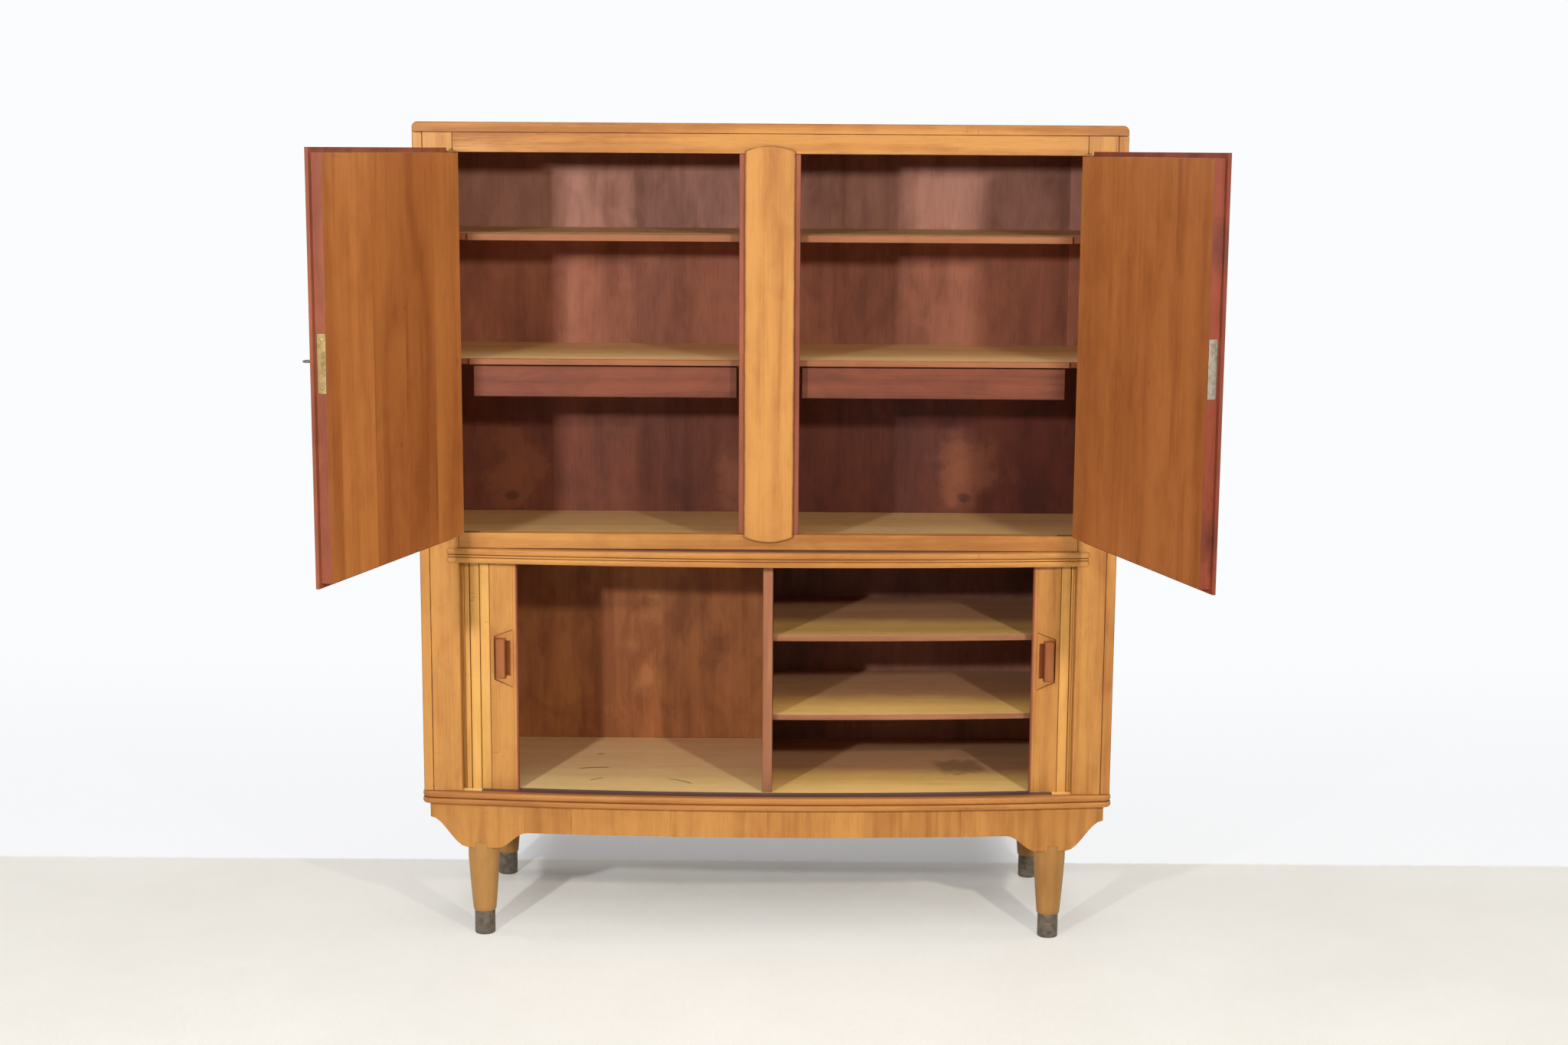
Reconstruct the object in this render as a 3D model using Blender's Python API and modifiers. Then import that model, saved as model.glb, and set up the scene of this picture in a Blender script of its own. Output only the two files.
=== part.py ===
# Buffet cabinet: hinged doors and hung drawers above, bowed tambour shutters below.
# Metres, +Z up, the front faces -Y. The sizes below are set out from the plane of the case's front edges.
# At the end all of it moves back, so that the origin is on the floor under the middle of the open cabinet.
import math

import bmesh
import bpy
from mathutils import Matrix, Vector

# Clearances
GAP = 0.0003
RUN_GAP = 0.0005
DOOR_GAP = 0.001

# Case
CASE_WIDTH = 1.200
CASE_DEPTH = 0.395
PANEL = 0.017
TOP_ROUND = 0.010
BACK_PANEL = 0.008
BACK_INSET = 0.013
MIDDLE_BOARD = 0.024
SILL_STEP = 0.020
PARTITION = 0.018
DIVIDER = 0.017

# Heights from the floor up
FERRULE_HEIGHT = 0.043
APRON_TOP = 0.243
BASE_BOARD = 0.022
SHUTTER_OPENING = 0.407
PELMET_HEIGHT = 0.025
RAIL_HEIGHT = 0.027
DOOR_OPENING = 0.646
TOP_RAIL = 0.033

# Face frame
STILE_WIDTH = 0.050
FRAME_DEPTH = 0.020
POST_WIDTH = 0.103
COVER_WIDTH = 0.084
COVER_THICKNESS = 0.006
COVER_REACH = 0.005
COVER_ARCH = 0.009
COVER_EDGE = 0.0015

# Bowed front
BOW_RADIUS = 4.700
ARC_STEPS = 20
PELMET_PROUD = 0.0275
PELMET_THICKNESS = 0.014
PELMET_REACH = 0.020
PELMET_CORNER = 0.0035
BASE_PROUD = 0.0318
BASE_STRIP = 0.0140
BASE_OVERHANG = 0.004
BASE_CORNER = 0.018
REED_DEPTH = 0.003
REED_WIDTH = 0.0024

# Tambour shutters
CURTAIN = 0.009
SLAT = 0.0175
NOTCH_WIDTH = 0.003
NOTCH_DEPTH = 0.002
LEADER_WIDTH = 0.048
SHUTTER_SETBACK = 0.0015
GROOVE_WIDTH = 0.010
GROOVE_DEPTH = 0.007
MEETING_GAP = 0.0006
SIDE_RUN_INSET = 0.012
TURN_RADIUS = 0.035
RETRACT_ROOM = 0.006
LEFT_SHOWN = 0.098
RIGHT_SHOWN = 0.073
LEFT_SLAT_COUNT = 2
RIGHT_SLAT_COUNT = 1
RUN_END_ROOM = 0.003
GRIP_SETBACK = 0.020
GRIP_WIDTH = 0.0185
GRIP_HEIGHT = 0.073
GRIP_PROUD = 0.006
GRIP_RISE = 0.235
FINGER_WIDTH = 0.007
FINGER_HEIGHT = 0.062
FINGER_DEPTH = 0.005
LINER = 0.008
LINER_INSET = 0.030
LINER_FRONT = 0.080

# Doors
LIP = 0.007
LIP_THICKNESS = 0.006
CORE_THICKNESS = 0.017
DOOR_OPEN_DEG = 106.4
LOCK_RISE = 0.011
PLATE_HEIGHT = 0.090
PLATE_WIDTH = 0.014
PLATE_THICKNESS = 0.002
LOCK_DEPTH = 0.035
LOCK_HEIGHT = 0.060
LOCK_THICKNESS = 0.010
BOLT_LENGTH = 0.024
BOLT_HEIGHT = 0.018
BOLT_THICKNESS = 0.006
BOLT_THROW = 0.008
KEY_BACKSET = 0.031
KEY_RADIUS = 0.0022
KEY_PROUD = 0.032
KEY_BOW_RADIUS = 0.0085
KEY_BOW_WIRE = 0.0016
KEYHOLE_ROOM = 0.0006
HINGE_PLATE = 0.0022
HINGE_EYE = 0.004
HINGE_PIN = 0.0015
HINGE_LENGTH = 0.033
HINGE_WIDTH = 0.009
HINGE_OFFSET = 0.0095
HINGE_INSET = 0.004
HINGE_FACE_GAP = 0.0012
LIP_NOTCH = 0.0155

# Shelves and drawers
UPPER_SHELF_RISE = 0.530
UPPER_SHELF = 0.012
DRAWER_SHELF_RISE = 0.317
DRAWER_SHELF = 0.010
SHELF_FRONT = 0.028
SHELF_NOTCH_WIDTH = 0.020
SHELF_NOTCH_DEPTH = 0.006
HIGH_SHELF_RISE = 0.277
LOW_SHELF_RISE = 0.136
LOWER_SHELF = 0.010
LOWER_SHELF_SETBACK = 0.021
DRAWER_POST_GAP = 0.004
DRAWER_STILE_GAP = 0.026
DRAWER_HEIGHT = 0.053
DRAWER_FRONT = 0.014
DRAWER_FRONT_Y = 0.030
DRAWER_BACK_ROOM = 0.014
DRAWER_TOP_GAP = 0.002
DRAWER_WALL = 0.006
DRAWER_FLOOR = 0.005
TRAY_INSET = 0.014
TRAY_DROP = 0.0055
FLANGE_REACH = 0.007
FLANGE_THICKNESS = 0.005
RUNNER_WEB = 0.004
RUNNER_LEDGE = 0.006
RUNNER_SETBACK = 0.001

# Base
APRON_PROUD = 0.0198
APRON_THICKNESS = 0.020
APRON_INSET = 0.009
APRON_DROP = 0.051
LOBE_DROP = 0.080
END_DROP = 0.027
LEG_INSET = 0.100
LEG_RADIUS = 0.0275
LEG_FOOT_RADIUS = 0.020
LEG_PROUD = 0.0013
LEG_HOUSING = 0.008
LEG_TENON = 0.016
LEG_BACK_INSET = 0.004
LOBE_HALF = 0.026
BRACKET_RUN = 0.054
FERRULE_RADIUS = 0.018
FERRULE_WALL = 0.002
FERRULE_FLOOR = 0.005
TURN_STEPS = 28

# Places worked out from the sizes above
FLOOR = APRON_TOP + BASE_BOARD
PELMET_LOW = FLOOR + SHUTTER_OPENING
PELMET_TOP = PELMET_LOW + PELMET_HEIGHT
DOOR_LOW = PELMET_TOP + RAIL_HEIGHT
DOOR_HIGH = DOOR_LOW + DOOR_OPENING
FRAME_TOP = DOOR_HIGH + TOP_RAIL
UPPER_FLOOR = DOOR_LOW - SILL_STEP
CEILING = UPPER_FLOOR - MIDDLE_BOARD
CASE_HALF = CASE_WIDTH / 2
INNER_HALF = CASE_HALF - PANEL
OPENING_HALF = INNER_HALF - STILE_WIDTH
POST_HALF = POST_WIDTH / 2
BACK_FACE = CASE_DEPTH - BACK_INSET - BACK_PANEL
SHUTTER_EDGE_Y = FRAME_DEPTH + SHUTTER_SETBACK
BOW_CENTRE = SHUTTER_EDGE_Y + math.sqrt(BOW_RADIUS**2 - OPENING_HALF**2)
HINGE_X = OPENING_HALF + LIP
HINGE_Y = -GAP - LIP_THICKNESS
CORE_EDGE = POST_HALF + DOOR_GAP
CORE_HINGE_EDGE = OPENING_HALF - DOOR_GAP
CORE_LOW = DOOR_LOW + DOOR_GAP
CORE_HIGH = DOOR_HIGH - DOOR_GAP
LOCK_Z = (DOOR_LOW + DOOR_HIGH) / 2 + LOCK_RISE
BOLT_Y = CORE_THICKNESS / 2
SLAT_LOW = FLOOR - GROOVE_DEPTH + GAP
SLAT_HIGH = CEILING + GROOVE_DEPTH - RUN_GAP
RUN_RADIUS = BOW_RADIUS - CURTAIN / 2
SIDE_RUN_X = INNER_HALF - SIDE_RUN_INSET
TURN_ANGLE = math.asin((SIDE_RUN_X - TURN_RADIUS) / (RUN_RADIUS - TURN_RADIUS))
FRONT_RUN = RUN_RADIUS * TURN_ANGLE
TURN_RUN = TURN_RADIUS * (math.pi / 2 - TURN_ANGLE)
LINER_X = INNER_HALF - LINER_INSET
LEG_X = CASE_HALF - LEG_INSET
LEFT_LEAD = OPENING_HALF - LEFT_SHOWN
RIGHT_LEAD = OPENING_HALF - RIGHT_SHOWN
TURN_Y = BOW_CENTRE - (RUN_RADIUS - TURN_RADIUS) * math.cos(TURN_ANGLE)
TRACK_END = BACK_FACE - CURTAIN
DRAWER_NEAR = POST_HALF + DRAWER_POST_GAP
DRAWER_FAR = OPENING_HALF - DRAWER_STILE_GAP
UPPER_SHELF_TOP = UPPER_FLOOR + UPPER_SHELF_RISE
DRAWER_SHELF_TOP = UPPER_FLOOR + DRAWER_SHELF_RISE
OPEN_ANGLE = math.radians(DOOR_OPEN_DEG)
LEAD_EDGE = HINGE_X - POST_HALF + LIP
DOOR_REACH = LEAD_EDGE * math.sin(OPEN_ANGLE) - LIP_THICKNESS * math.cos(OPEN_ANGLE) - HINGE_Y
FRONT_PLANE_Y = (DOOR_REACH - CASE_DEPTH) / 2


def clear_scene():
    for item in list(bpy.data.objects):
        bpy.data.objects.remove(item, do_unlink=True)


def make_collection(name):
    collection = bpy.data.collections.new(name)
    bpy.context.scene.collection.children.link(collection)
    return collection


def make_material(name, colour, roughness, metallic=0.0):
    material = bpy.data.materials.new(name)
    material.use_nodes = True
    shader = material.node_tree.nodes["Principled BSDF"]
    shader.inputs["Base Color"].default_value = (*colour, 1.0)
    shader.inputs["Roughness"].default_value = roughness
    shader.inputs["Metallic"].default_value = metallic
    return material


clear_scene()
CABINET = make_collection("buffet_cabinet")
CUTTERS = make_collection("cutters")
TEAK = make_material("golden_teak", (0.56, 0.28, 0.09), 0.42)
RED_TEAK = make_material("red_teak", (0.30, 0.10, 0.05), 0.45)
PALE_WOOD = make_material("pale_birch", (0.66, 0.46, 0.22), 0.50)
BACK_WOOD = make_material("dark_back", (0.20, 0.07, 0.035), 0.55)
LEG_WOOD = make_material("tan_leg", (0.42, 0.22, 0.07), 0.40)
BRASS = make_material("aged_brass", (0.46, 0.33, 0.14), 0.40, 1.0)
DARK_METAL = make_material("dark_ferrule", (0.12, 0.10, 0.08), 0.45, 1.0)


def add_object(name, mesh, finish):
    """Adds a mesh as a part, or as a cutter where it has no finish."""
    obj = bpy.data.objects.new(name, mesh)
    if finish is None:
        CUTTERS.objects.link(obj)
        obj.hide_render = True
        obj.display_type = "WIRE"
    else:
        CABINET.objects.link(obj)
        mesh.materials.clear()
        mesh.materials.append(finish)
    return obj


def box(name, x, y, z, finish):
    """A board between two values on each axis."""
    spans = [sorted(x), sorted(y), sorted(z)]
    size = [high - low for low, high in spans]
    mesh = bpy.data.meshes.new(name)
    shape = bmesh.new()
    bmesh.ops.create_cube(shape, size=1.0, matrix=Matrix.Diagonal((*size, 1.0)))
    shape.to_mesh(mesh)
    shape.free()
    obj = add_object(name, mesh, finish)
    obj.location = [(low + high) / 2 for low, high in spans]
    return obj


PLANES = {
    "XY": Matrix.Identity(3),
    "XZ": Matrix(((1, 0, 0), (0, 0, -1), (0, 1, 0))),
    "YZ": Matrix(((0, 0, 1), (1, 0, 0), (0, 1, 0))),
}


def slab(name, outline, span, finish, plane="XY"):
    """A flat outline in one plane, with its thickness across the third axis."""
    low, high = sorted(span)
    curve = bpy.data.curves.new(name, "CURVE")
    curve.dimensions = "2D"
    curve.fill_mode = "BOTH"
    curve.extrude = (high - low) / 2
    spline = curve.splines.new("POLY")
    spline.points.add(len(outline) - 1)
    for point, (u, v) in zip(spline.points, outline):
        point.co = (u, v, 0.0, 1.0)
    spline.use_cyclic_u = True
    guide = bpy.data.objects.new(name + "_outline", curve)
    CUTTERS.objects.link(guide)
    turn = PLANES[plane]
    middle = turn @ Vector((0, 0, 1)) * (low + high) / 2
    if plane == "XZ":
        middle = Vector((0, (low + high) / 2, 0))
    guide.matrix_world = Matrix.Translation(middle) @ turn.to_4x4()
    bpy.context.view_layer.update()
    graph = bpy.context.evaluated_depsgraph_get()
    mesh = bpy.data.meshes.new_from_object(guide.evaluated_get(graph))
    shape = bmesh.new()
    shape.from_mesh(mesh)
    bmesh.ops.remove_doubles(shape, verts=shape.verts, dist=1e-6)
    bmesh.ops.recalc_face_normals(shape, faces=shape.faces)
    shape.to_mesh(mesh)
    shape.free()
    mesh.name = name
    obj = add_object(name, mesh, finish)
    obj.matrix_world = guide.matrix_world
    bpy.data.objects.remove(guide, do_unlink=True)
    return obj


def turned(name, profile, place, finish):
    """A turned piece: its profile runs from the axis at the top to the axis at the bottom."""
    mesh = bpy.data.meshes.new(name)
    points = [(radius, 0.0, height) for radius, height in profile]
    edges = [(i, i + 1) for i in range(len(points) - 1)]
    mesh.from_pydata(points, edges, [])
    obj = add_object(name, mesh, finish)
    obj.location = place
    screw = obj.modifiers.new("turn", "SCREW")
    screw.axis = "Z"
    screw.steps = TURN_STEPS
    screw.render_steps = TURN_STEPS
    screw.use_merge_vertices = True
    screw.merge_threshold = 1e-5
    screw.use_smooth_shade = True
    return obj


def rod(name, start, end, radius, finish, sides=16):
    """A round rod between two points."""
    start = Vector(start)
    end = Vector(end)
    mesh = bpy.data.meshes.new(name)
    shape = bmesh.new()
    length = (end - start).length
    bmesh.ops.create_cone(
        shape, cap_ends=True, segments=sides, radius1=radius, radius2=radius, depth=length
    )
    shape.to_mesh(mesh)
    shape.free()
    obj = add_object(name, mesh, finish)
    obj.rotation_mode = "QUATERNION"
    obj.rotation_quaternion = (end - start).to_track_quat("Z", "Y")
    obj.location = (start + end) / 2
    return obj


def boolean(obj, operation, others):
    for other in others:
        modifier = obj.modifiers.new(operation.lower() + "_" + other.name, "BOOLEAN")
        modifier.operation = operation
        modifier.object = other
    return obj


def cut(obj, *cutters):
    return boolean(obj, "DIFFERENCE", cutters)


def fuse(obj, *others):
    return boolean(obj, "UNION", others)


def round_edges(obj, width, segments=2):
    bevel = obj.modifiers.new("round", "BEVEL")
    bevel.width = width
    bevel.segments = segments
    bevel.limit_method = "ANGLE"
    bevel.angle_limit = math.radians(40)
    return obj


def pivot(name, place):
    empty = bpy.data.objects.new(name, None)
    CABINET.objects.link(empty)
    empty.location = place
    empty.empty_display_size = 0.05
    return empty


def hang(empty, *items):
    """Carries pieces on an empty, keeping them where they stand."""
    for item in items:
        item.parent = empty
        item.matrix_parent_inverse = Matrix.Translation(empty.location).inverted()


def sided(side, name):
    return ("left_" if side < 0 else "right_") + name


def across(side, near, far):
    """A span on the X axis, measured outwards from the middle."""
    return (side * near, side * far)


def ramp(start, end, steps):
    return [start + (end - start) * i / steps for i in range(steps + 1)]


# The bow: arcs about one far axis behind the cabinet


def bow_y(proud, x):
    return BOW_CENTRE - math.sqrt((BOW_RADIUS + proud) ** 2 - x**2)


def bow_arc(proud, start, end, steps=ARC_STEPS):
    return [(x, bow_y(proud, x)) for x in ramp(start, end, steps)]


def bow_band(outer, inner, half, steps=ARC_STEPS):
    return bow_arc(outer, -half, half, steps) + bow_arc(inner, half, -half, steps)


# The shutters' run: along the bow, round the corner, then straight back


def run_point(travel, proud):
    """A point beside the right-hand run, at a distance from mid front along its middle line."""
    corner = RUN_RADIUS - TURN_RADIUS
    turn_x = corner * math.sin(TURN_ANGLE)
    turn_y = BOW_CENTRE - corner * math.cos(TURN_ANGLE)
    if travel <= FRONT_RUN:
        angle = travel / RUN_RADIUS
        reach = RUN_RADIUS + proud
        return (reach * math.sin(angle), BOW_CENTRE - reach * math.cos(angle))
    if travel <= FRONT_RUN + TURN_RUN:
        angle = TURN_ANGLE + (travel - FRONT_RUN) / TURN_RADIUS
        reach = TURN_RADIUS + proud
        return (turn_x + reach * math.sin(angle), turn_y - reach * math.cos(angle))
    return (SIDE_RUN_X + proud, turn_y + travel - FRONT_RUN - TURN_RUN)


def run_band(start, end, outer, inner, steps):
    travels = ramp(start, end, steps)
    front = [run_point(travel, outer) for travel in travels]
    back = [run_point(travel, inner) for travel in reversed(travels)]
    return front + back


def slat_band(start, count):
    """The section of a row of slats, with a notch between each two."""
    face = CURTAIN / 2
    front = [run_point(start, face), run_point(start + SLAT / 2, face)]
    for i in range(1, count):
        seam = start + i * SLAT
        front.append(run_point(seam - NOTCH_WIDTH / 2, face))
        front.append(run_point(seam, face - NOTCH_DEPTH))
        front.append(run_point(seam + NOTCH_WIDTH / 2, face))
        front.append(run_point(seam + SLAT / 2, face))
    front.append(run_point(start + count * SLAT, face))
    back = [run_point(travel, -face) for travel in ramp(start + count * SLAT, start, 2 * count)]
    return front + back


def mirrored(side, outline):
    return [(side * x, y) for x, y in outline]


# Case


def build_case():
    top = box("top_panel", (-CASE_HALF, CASE_HALF), (0, CASE_DEPTH), (FRAME_TOP, FRAME_TOP + PANEL), TEAK)
    shape = bmesh.new()
    shape.from_mesh(top.data)
    ends = [e for e in shape.edges if all(v.co.z > 0 for v in e.verts) and e.verts[0].co.x == e.verts[1].co.x]
    bmesh.ops.bevel(shape, geom=ends, offset=TOP_ROUND, segments=5, profile=0.5, affect="EDGES")
    shape.to_mesh(top.data)
    shape.free()
    for side in (-1, 1):
        box(
            sided(side, "side_panel"),
            across(side, INNER_HALF, CASE_HALF),
            (0, CASE_DEPTH),
            (FLOOR + GAP, FRAME_TOP - GAP),
            TEAK,
        )
    half = INNER_HALF - GAP
    box("back_panel", (-half, half), (BACK_FACE, BACK_FACE + BACK_PANEL), (FLOOR + GAP, FRAME_TOP - GAP), BACK_WOOD)
    behind = (FRAME_DEPTH + GAP, BACK_FACE - GAP)
    box("upper_partition", (-PARTITION / 2, PARTITION / 2), behind, (UPPER_FLOOR + GAP, FRAME_TOP - GAP), RED_TEAK)
    divider_front = bow_y(-CURTAIN, 0) + 2 * SHUTTER_SETBACK
    box(
        "lower_divider",
        (-DIVIDER / 2, DIVIDER / 2),
        (divider_front, BACK_FACE - GAP),
        (FLOOR + GAP, CEILING - GAP),
        RED_TEAK,
    )
    for side in (-1, 1):
        box(
            sided(side, "pocket_liner"),
            across(side, LINER_X - LINER, LINER_X),
            (LINER_FRONT, BACK_FACE - GAP),
            (FLOOR + GAP, CEILING - GAP),
            BACK_WOOD,
        )


def track_outline():
    """The track of both shutters: the front arc runs on a little so stiff slats can retract past the corner."""
    reach = GROOVE_WIDTH / 2
    half = INNER_HALF - RETRACT_ROOM
    corner = RUN_RADIUS - TURN_RADIUS
    wide = TURN_RADIUS + reach
    turn_x = corner * math.sin(TURN_ANGLE)
    turn_y = BOW_CENTRE - corner * math.cos(TURN_ANGLE)
    inner = RUN_RADIUS - reach
    cosine = (inner**2 - corner**2 - wide**2) / (2 * corner * wide)
    leaving = TURN_ANGLE + math.acos(cosine)
    right = [(half, BOW_CENTRE - math.sqrt(inner**2 - half**2))]
    for angle in ramp(leaving, math.pi / 2, 5):
        right.append((turn_x + wide * math.sin(angle), turn_y - wide * math.cos(angle)))
    right.append((SIDE_RUN_X + reach, TRACK_END))
    right.append((SIDE_RUN_X - reach, TRACK_END))
    narrow = TURN_RADIUS - reach
    for angle in ramp(math.pi / 2, TURN_ANGLE, 6):
        right.append((turn_x + narrow * math.sin(angle), turn_y - narrow * math.cos(angle)))
    for angle in ramp(TURN_ANGLE, 0, ARC_STEPS // 2)[1:-1]:
        right.append((inner * math.sin(angle), BOW_CENTRE - inner * math.cos(angle)))
    left = [(-x, y) for x, y in reversed(right)]
    return bow_arc(reach - CURTAIN / 2, -half, half) + right + left


def build_boards():
    frame_back = FRAME_DEPTH + GAP
    side = INNER_HALF - GAP
    mouth = OPENING_HALF - GAP
    front = PELMET_PROUD - PELMET_THICKNESS - GAP
    back = BACK_FACE - GAP
    outline = bow_arc(front, -mouth, mouth)
    outline += [(mouth, frame_back + GAP), (side, frame_back), (side, back)]
    outline += [(-side, back), (-side, frame_back), (-mouth, frame_back + GAP)]
    board = slab("middle_board", outline, (CEILING, UPPER_FLOOR), PALE_WOOD)
    rebate = box(
        "rail_rebate",
        (-CASE_HALF, CASE_HALF),
        (-FRAME_DEPTH - PELMET_PROUD, frame_back + 2 * GAP),
        (PELMET_TOP - GAP, UPPER_FLOOR + MIDDLE_BOARD),
        None,
    )
    track = track_outline()
    cut(board, rebate, slab("upper_track", track, (CEILING - GROOVE_DEPTH, CEILING + GROOVE_DEPTH), None))
    base_half = CASE_HALF + BASE_OVERHANG - BASE_STRIP - GAP
    base_front = BASE_PROUD - BASE_STRIP - GAP
    outline = bow_arc(base_front, -base_half, base_half) + [(base_half, CASE_DEPTH), (-base_half, CASE_DEPTH)]
    base = slab("bottom_board", outline, (APRON_TOP, FLOOR), PALE_WOOD)
    cut(base, slab("lower_track", track, (FLOOR - GROOVE_DEPTH, FLOOR + GROOVE_DEPTH), None))


# Mouldings


def wrap(proud, half, corner, back):
    """A path from the right back corner round the bowed front to the left back corner."""
    turn_x = half - corner
    turn_y = bow_y(proud, turn_x) + corner
    right = [(half, back)]
    for angle in ramp(0, -math.pi / 2, 5):
        right.append((turn_x + corner * math.cos(angle), turn_y + corner * math.sin(angle)))
    front = bow_arc(proud, turn_x, -turn_x)[1:-1]
    left = [(-x, y) for x, y in reversed(right)]
    return right + front + left


def build_mouldings():
    half = CASE_HALF + BASE_OVERHANG
    inner_half = half - BASE_STRIP
    inner_front = BASE_PROUD - BASE_STRIP
    inside = [(-inner_half, CASE_DEPTH)] + bow_arc(inner_front, -inner_half, inner_half) + [(inner_half, CASE_DEPTH)]
    outline = wrap(BASE_PROUD, half, BASE_CORNER, CASE_DEPTH) + inside
    base = slab("base_moulding", outline, (APRON_TOP, FLOOR), TEAK)
    past = CASE_DEPTH + REED_DEPTH
    reed_outer = wrap(BASE_PROUD + REED_DEPTH, half + REED_DEPTH, BASE_CORNER + REED_DEPTH, past)
    reed_inner = wrap(BASE_PROUD - REED_DEPTH, half - REED_DEPTH, BASE_CORNER - REED_DEPTH, past)
    middle = (APRON_TOP + FLOOR) / 2
    reed = (middle - REED_WIDTH / 2, middle + REED_WIDTH / 2)
    cut(base, slab("base_reed", reed_outer + reed_inner[::-1], reed, None))
    mouth = OPENING_HALF - GAP
    end = OPENING_HALF + PELMET_REACH
    outline = wrap(PELMET_PROUD, end, PELMET_CORNER, -GAP) + [(-mouth, -GAP)]
    outline += bow_arc(PELMET_PROUD - PELMET_THICKNESS, -mouth, mouth) + [(mouth, -GAP)]
    pelmet = slab("pelmet", outline, (PELMET_LOW, PELMET_TOP - GAP), TEAK)
    groove = wrap(PELMET_PROUD + REED_DEPTH, end + REED_DEPTH, PELMET_CORNER + REED_DEPTH, REED_DEPTH)
    groove += wrap(PELMET_PROUD - REED_DEPTH, end - REED_DEPTH, PELMET_CORNER - REED_DEPTH, REED_DEPTH)[::-1]
    reeds = []
    for share in (0.42, 0.60):
        level = PELMET_LOW + share * PELMET_HEIGHT
        reeds.append(slab("pelmet_reed", groove, (level - REED_WIDTH / 2, level + REED_WIDTH / 2), None))
    cut(pelmet, *reeds)


# Face frame


def arched(half, low, high, rise, steps=8):
    """An upright outline whose two ends are shallow arcs."""
    radius = (half**2 + rise**2) / (2 * rise)
    points = []
    for x in ramp(-half, half, steps):
        points.append((x, low - math.sqrt(radius**2 - x**2) + radius - rise))
    for x in ramp(half, -half, steps):
        points.append((x, high + math.sqrt(radius**2 - x**2) - radius + rise))
    return points


def hinge_outline(side, room):
    """The plate of an offset pivot hinge seen from above: its mounting end, its arm and its eye."""
    eye = HINGE_EYE + room
    near = HINGE_X - HINGE_OFFSET + room
    far = HINGE_X - HINGE_OFFSET - HINGE_LENGTH - room
    front = HINGE_INSET - room
    back = HINGE_INSET + HINGE_WIDTH + room
    points = [(near, back), (far, back), (far, front), (near - HINGE_WIDTH, front)]
    for angle in ramp(math.radians(235), math.radians(450), 9):
        points.append((HINGE_X + eye * math.cos(angle), HINGE_Y + eye * math.sin(angle)))
    points.append((near, room - HINGE_FACE_GAP))
    return mirrored(side, points)


def build_frame():
    mouth = OPENING_HALF - GAP
    depth = (0, FRAME_DEPTH)
    top = box("top_rail", (-mouth, mouth), depth, (DOOR_HIGH, FRAME_TOP - GAP), TEAK)
    low = box("middle_rail", (-mouth, mouth), depth, (PELMET_TOP, DOOR_LOW), TEAK)
    for side in (-1, 1):
        box(
            sided(side, "frame_stile"),
            across(side, OPENING_HALF, INNER_HALF - GAP),
            depth,
            (FLOOR + GAP, FRAME_TOP - GAP),
            TEAK,
        )
        outline = hinge_outline(side, GAP)
        upper = (DOOR_HIGH - GAP, DOOR_HIGH + HINGE_PLATE + GAP)
        lower = (DOOR_LOW - HINGE_PLATE - GAP, DOOR_LOW + GAP)
        upper_seat = slab(sided(side, "upper_hinge_seat"), outline, upper, None)
        lower_seat = slab(sided(side, "lower_hinge_seat"), outline, lower, None)
        cut(top, upper_seat)
        cut(low, lower_seat)
    post = box("centre_post", (-POST_HALF, POST_HALF), depth, (DOOR_LOW + GAP, DOOR_HIGH - GAP), TEAK)
    for side in (-1, 1):
        reach = CORE_EDGE - BOLT_THROW - DOOR_GAP
        cut(
            post,
            box(
                sided(side, "strike"),
                across(side, reach, CORE_EDGE),
                (BOLT_Y - BOLT_THICKNESS / 2 - DOOR_GAP, BOLT_Y + BOLT_THICKNESS / 2 + DOOR_GAP),
                (LOCK_Z - BOLT_HEIGHT / 2 - DOOR_GAP, LOCK_Z + BOLT_HEIGHT / 2 + DOOR_GAP),
                None,
            ),
        )
    outline = arched(COVER_WIDTH / 2, DOOR_LOW - COVER_REACH, DOOR_HIGH + COVER_REACH, COVER_ARCH)
    slab("centre_stile", outline, (-GAP - COVER_THICKNESS, -GAP), TEAK, "XZ")


# Doors


def build_hinges(side, door_pivot):
    outline = hinge_outline(side, 0)
    axis = (side * HINGE_X, HINGE_Y)
    levels = {
        "upper": ((CORE_HIGH - HINGE_PLATE, CORE_HIGH), (DOOR_HIGH, DOOR_HIGH + HINGE_PLATE)),
        "lower": ((CORE_LOW, CORE_LOW + HINGE_PLATE), (DOOR_LOW - HINGE_PLATE, DOOR_LOW)),
    }
    for level, (door_span, frame_span) in levels.items():
        frame_leaf = slab(sided(side, level + "_hinge_frame_leaf"), outline, frame_span, BRASS)
        ends = door_span + frame_span
        hole = rod("eye_hole", (*axis, min(ends) - GAP), (*axis, max(ends) + GAP), HINGE_PIN + GAP / 3, None)
        cut(frame_leaf, hole)
        door_leaf = slab(sided(side, level + "_hinge_door_leaf"), outline, door_span, BRASS)
        pin = rod("hinge_pin", (*axis, min(ends)), (*axis, max(ends)), HINGE_PIN, None)
        fuse(door_leaf, pin)
        hang(door_pivot, door_leaf, pin)


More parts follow.
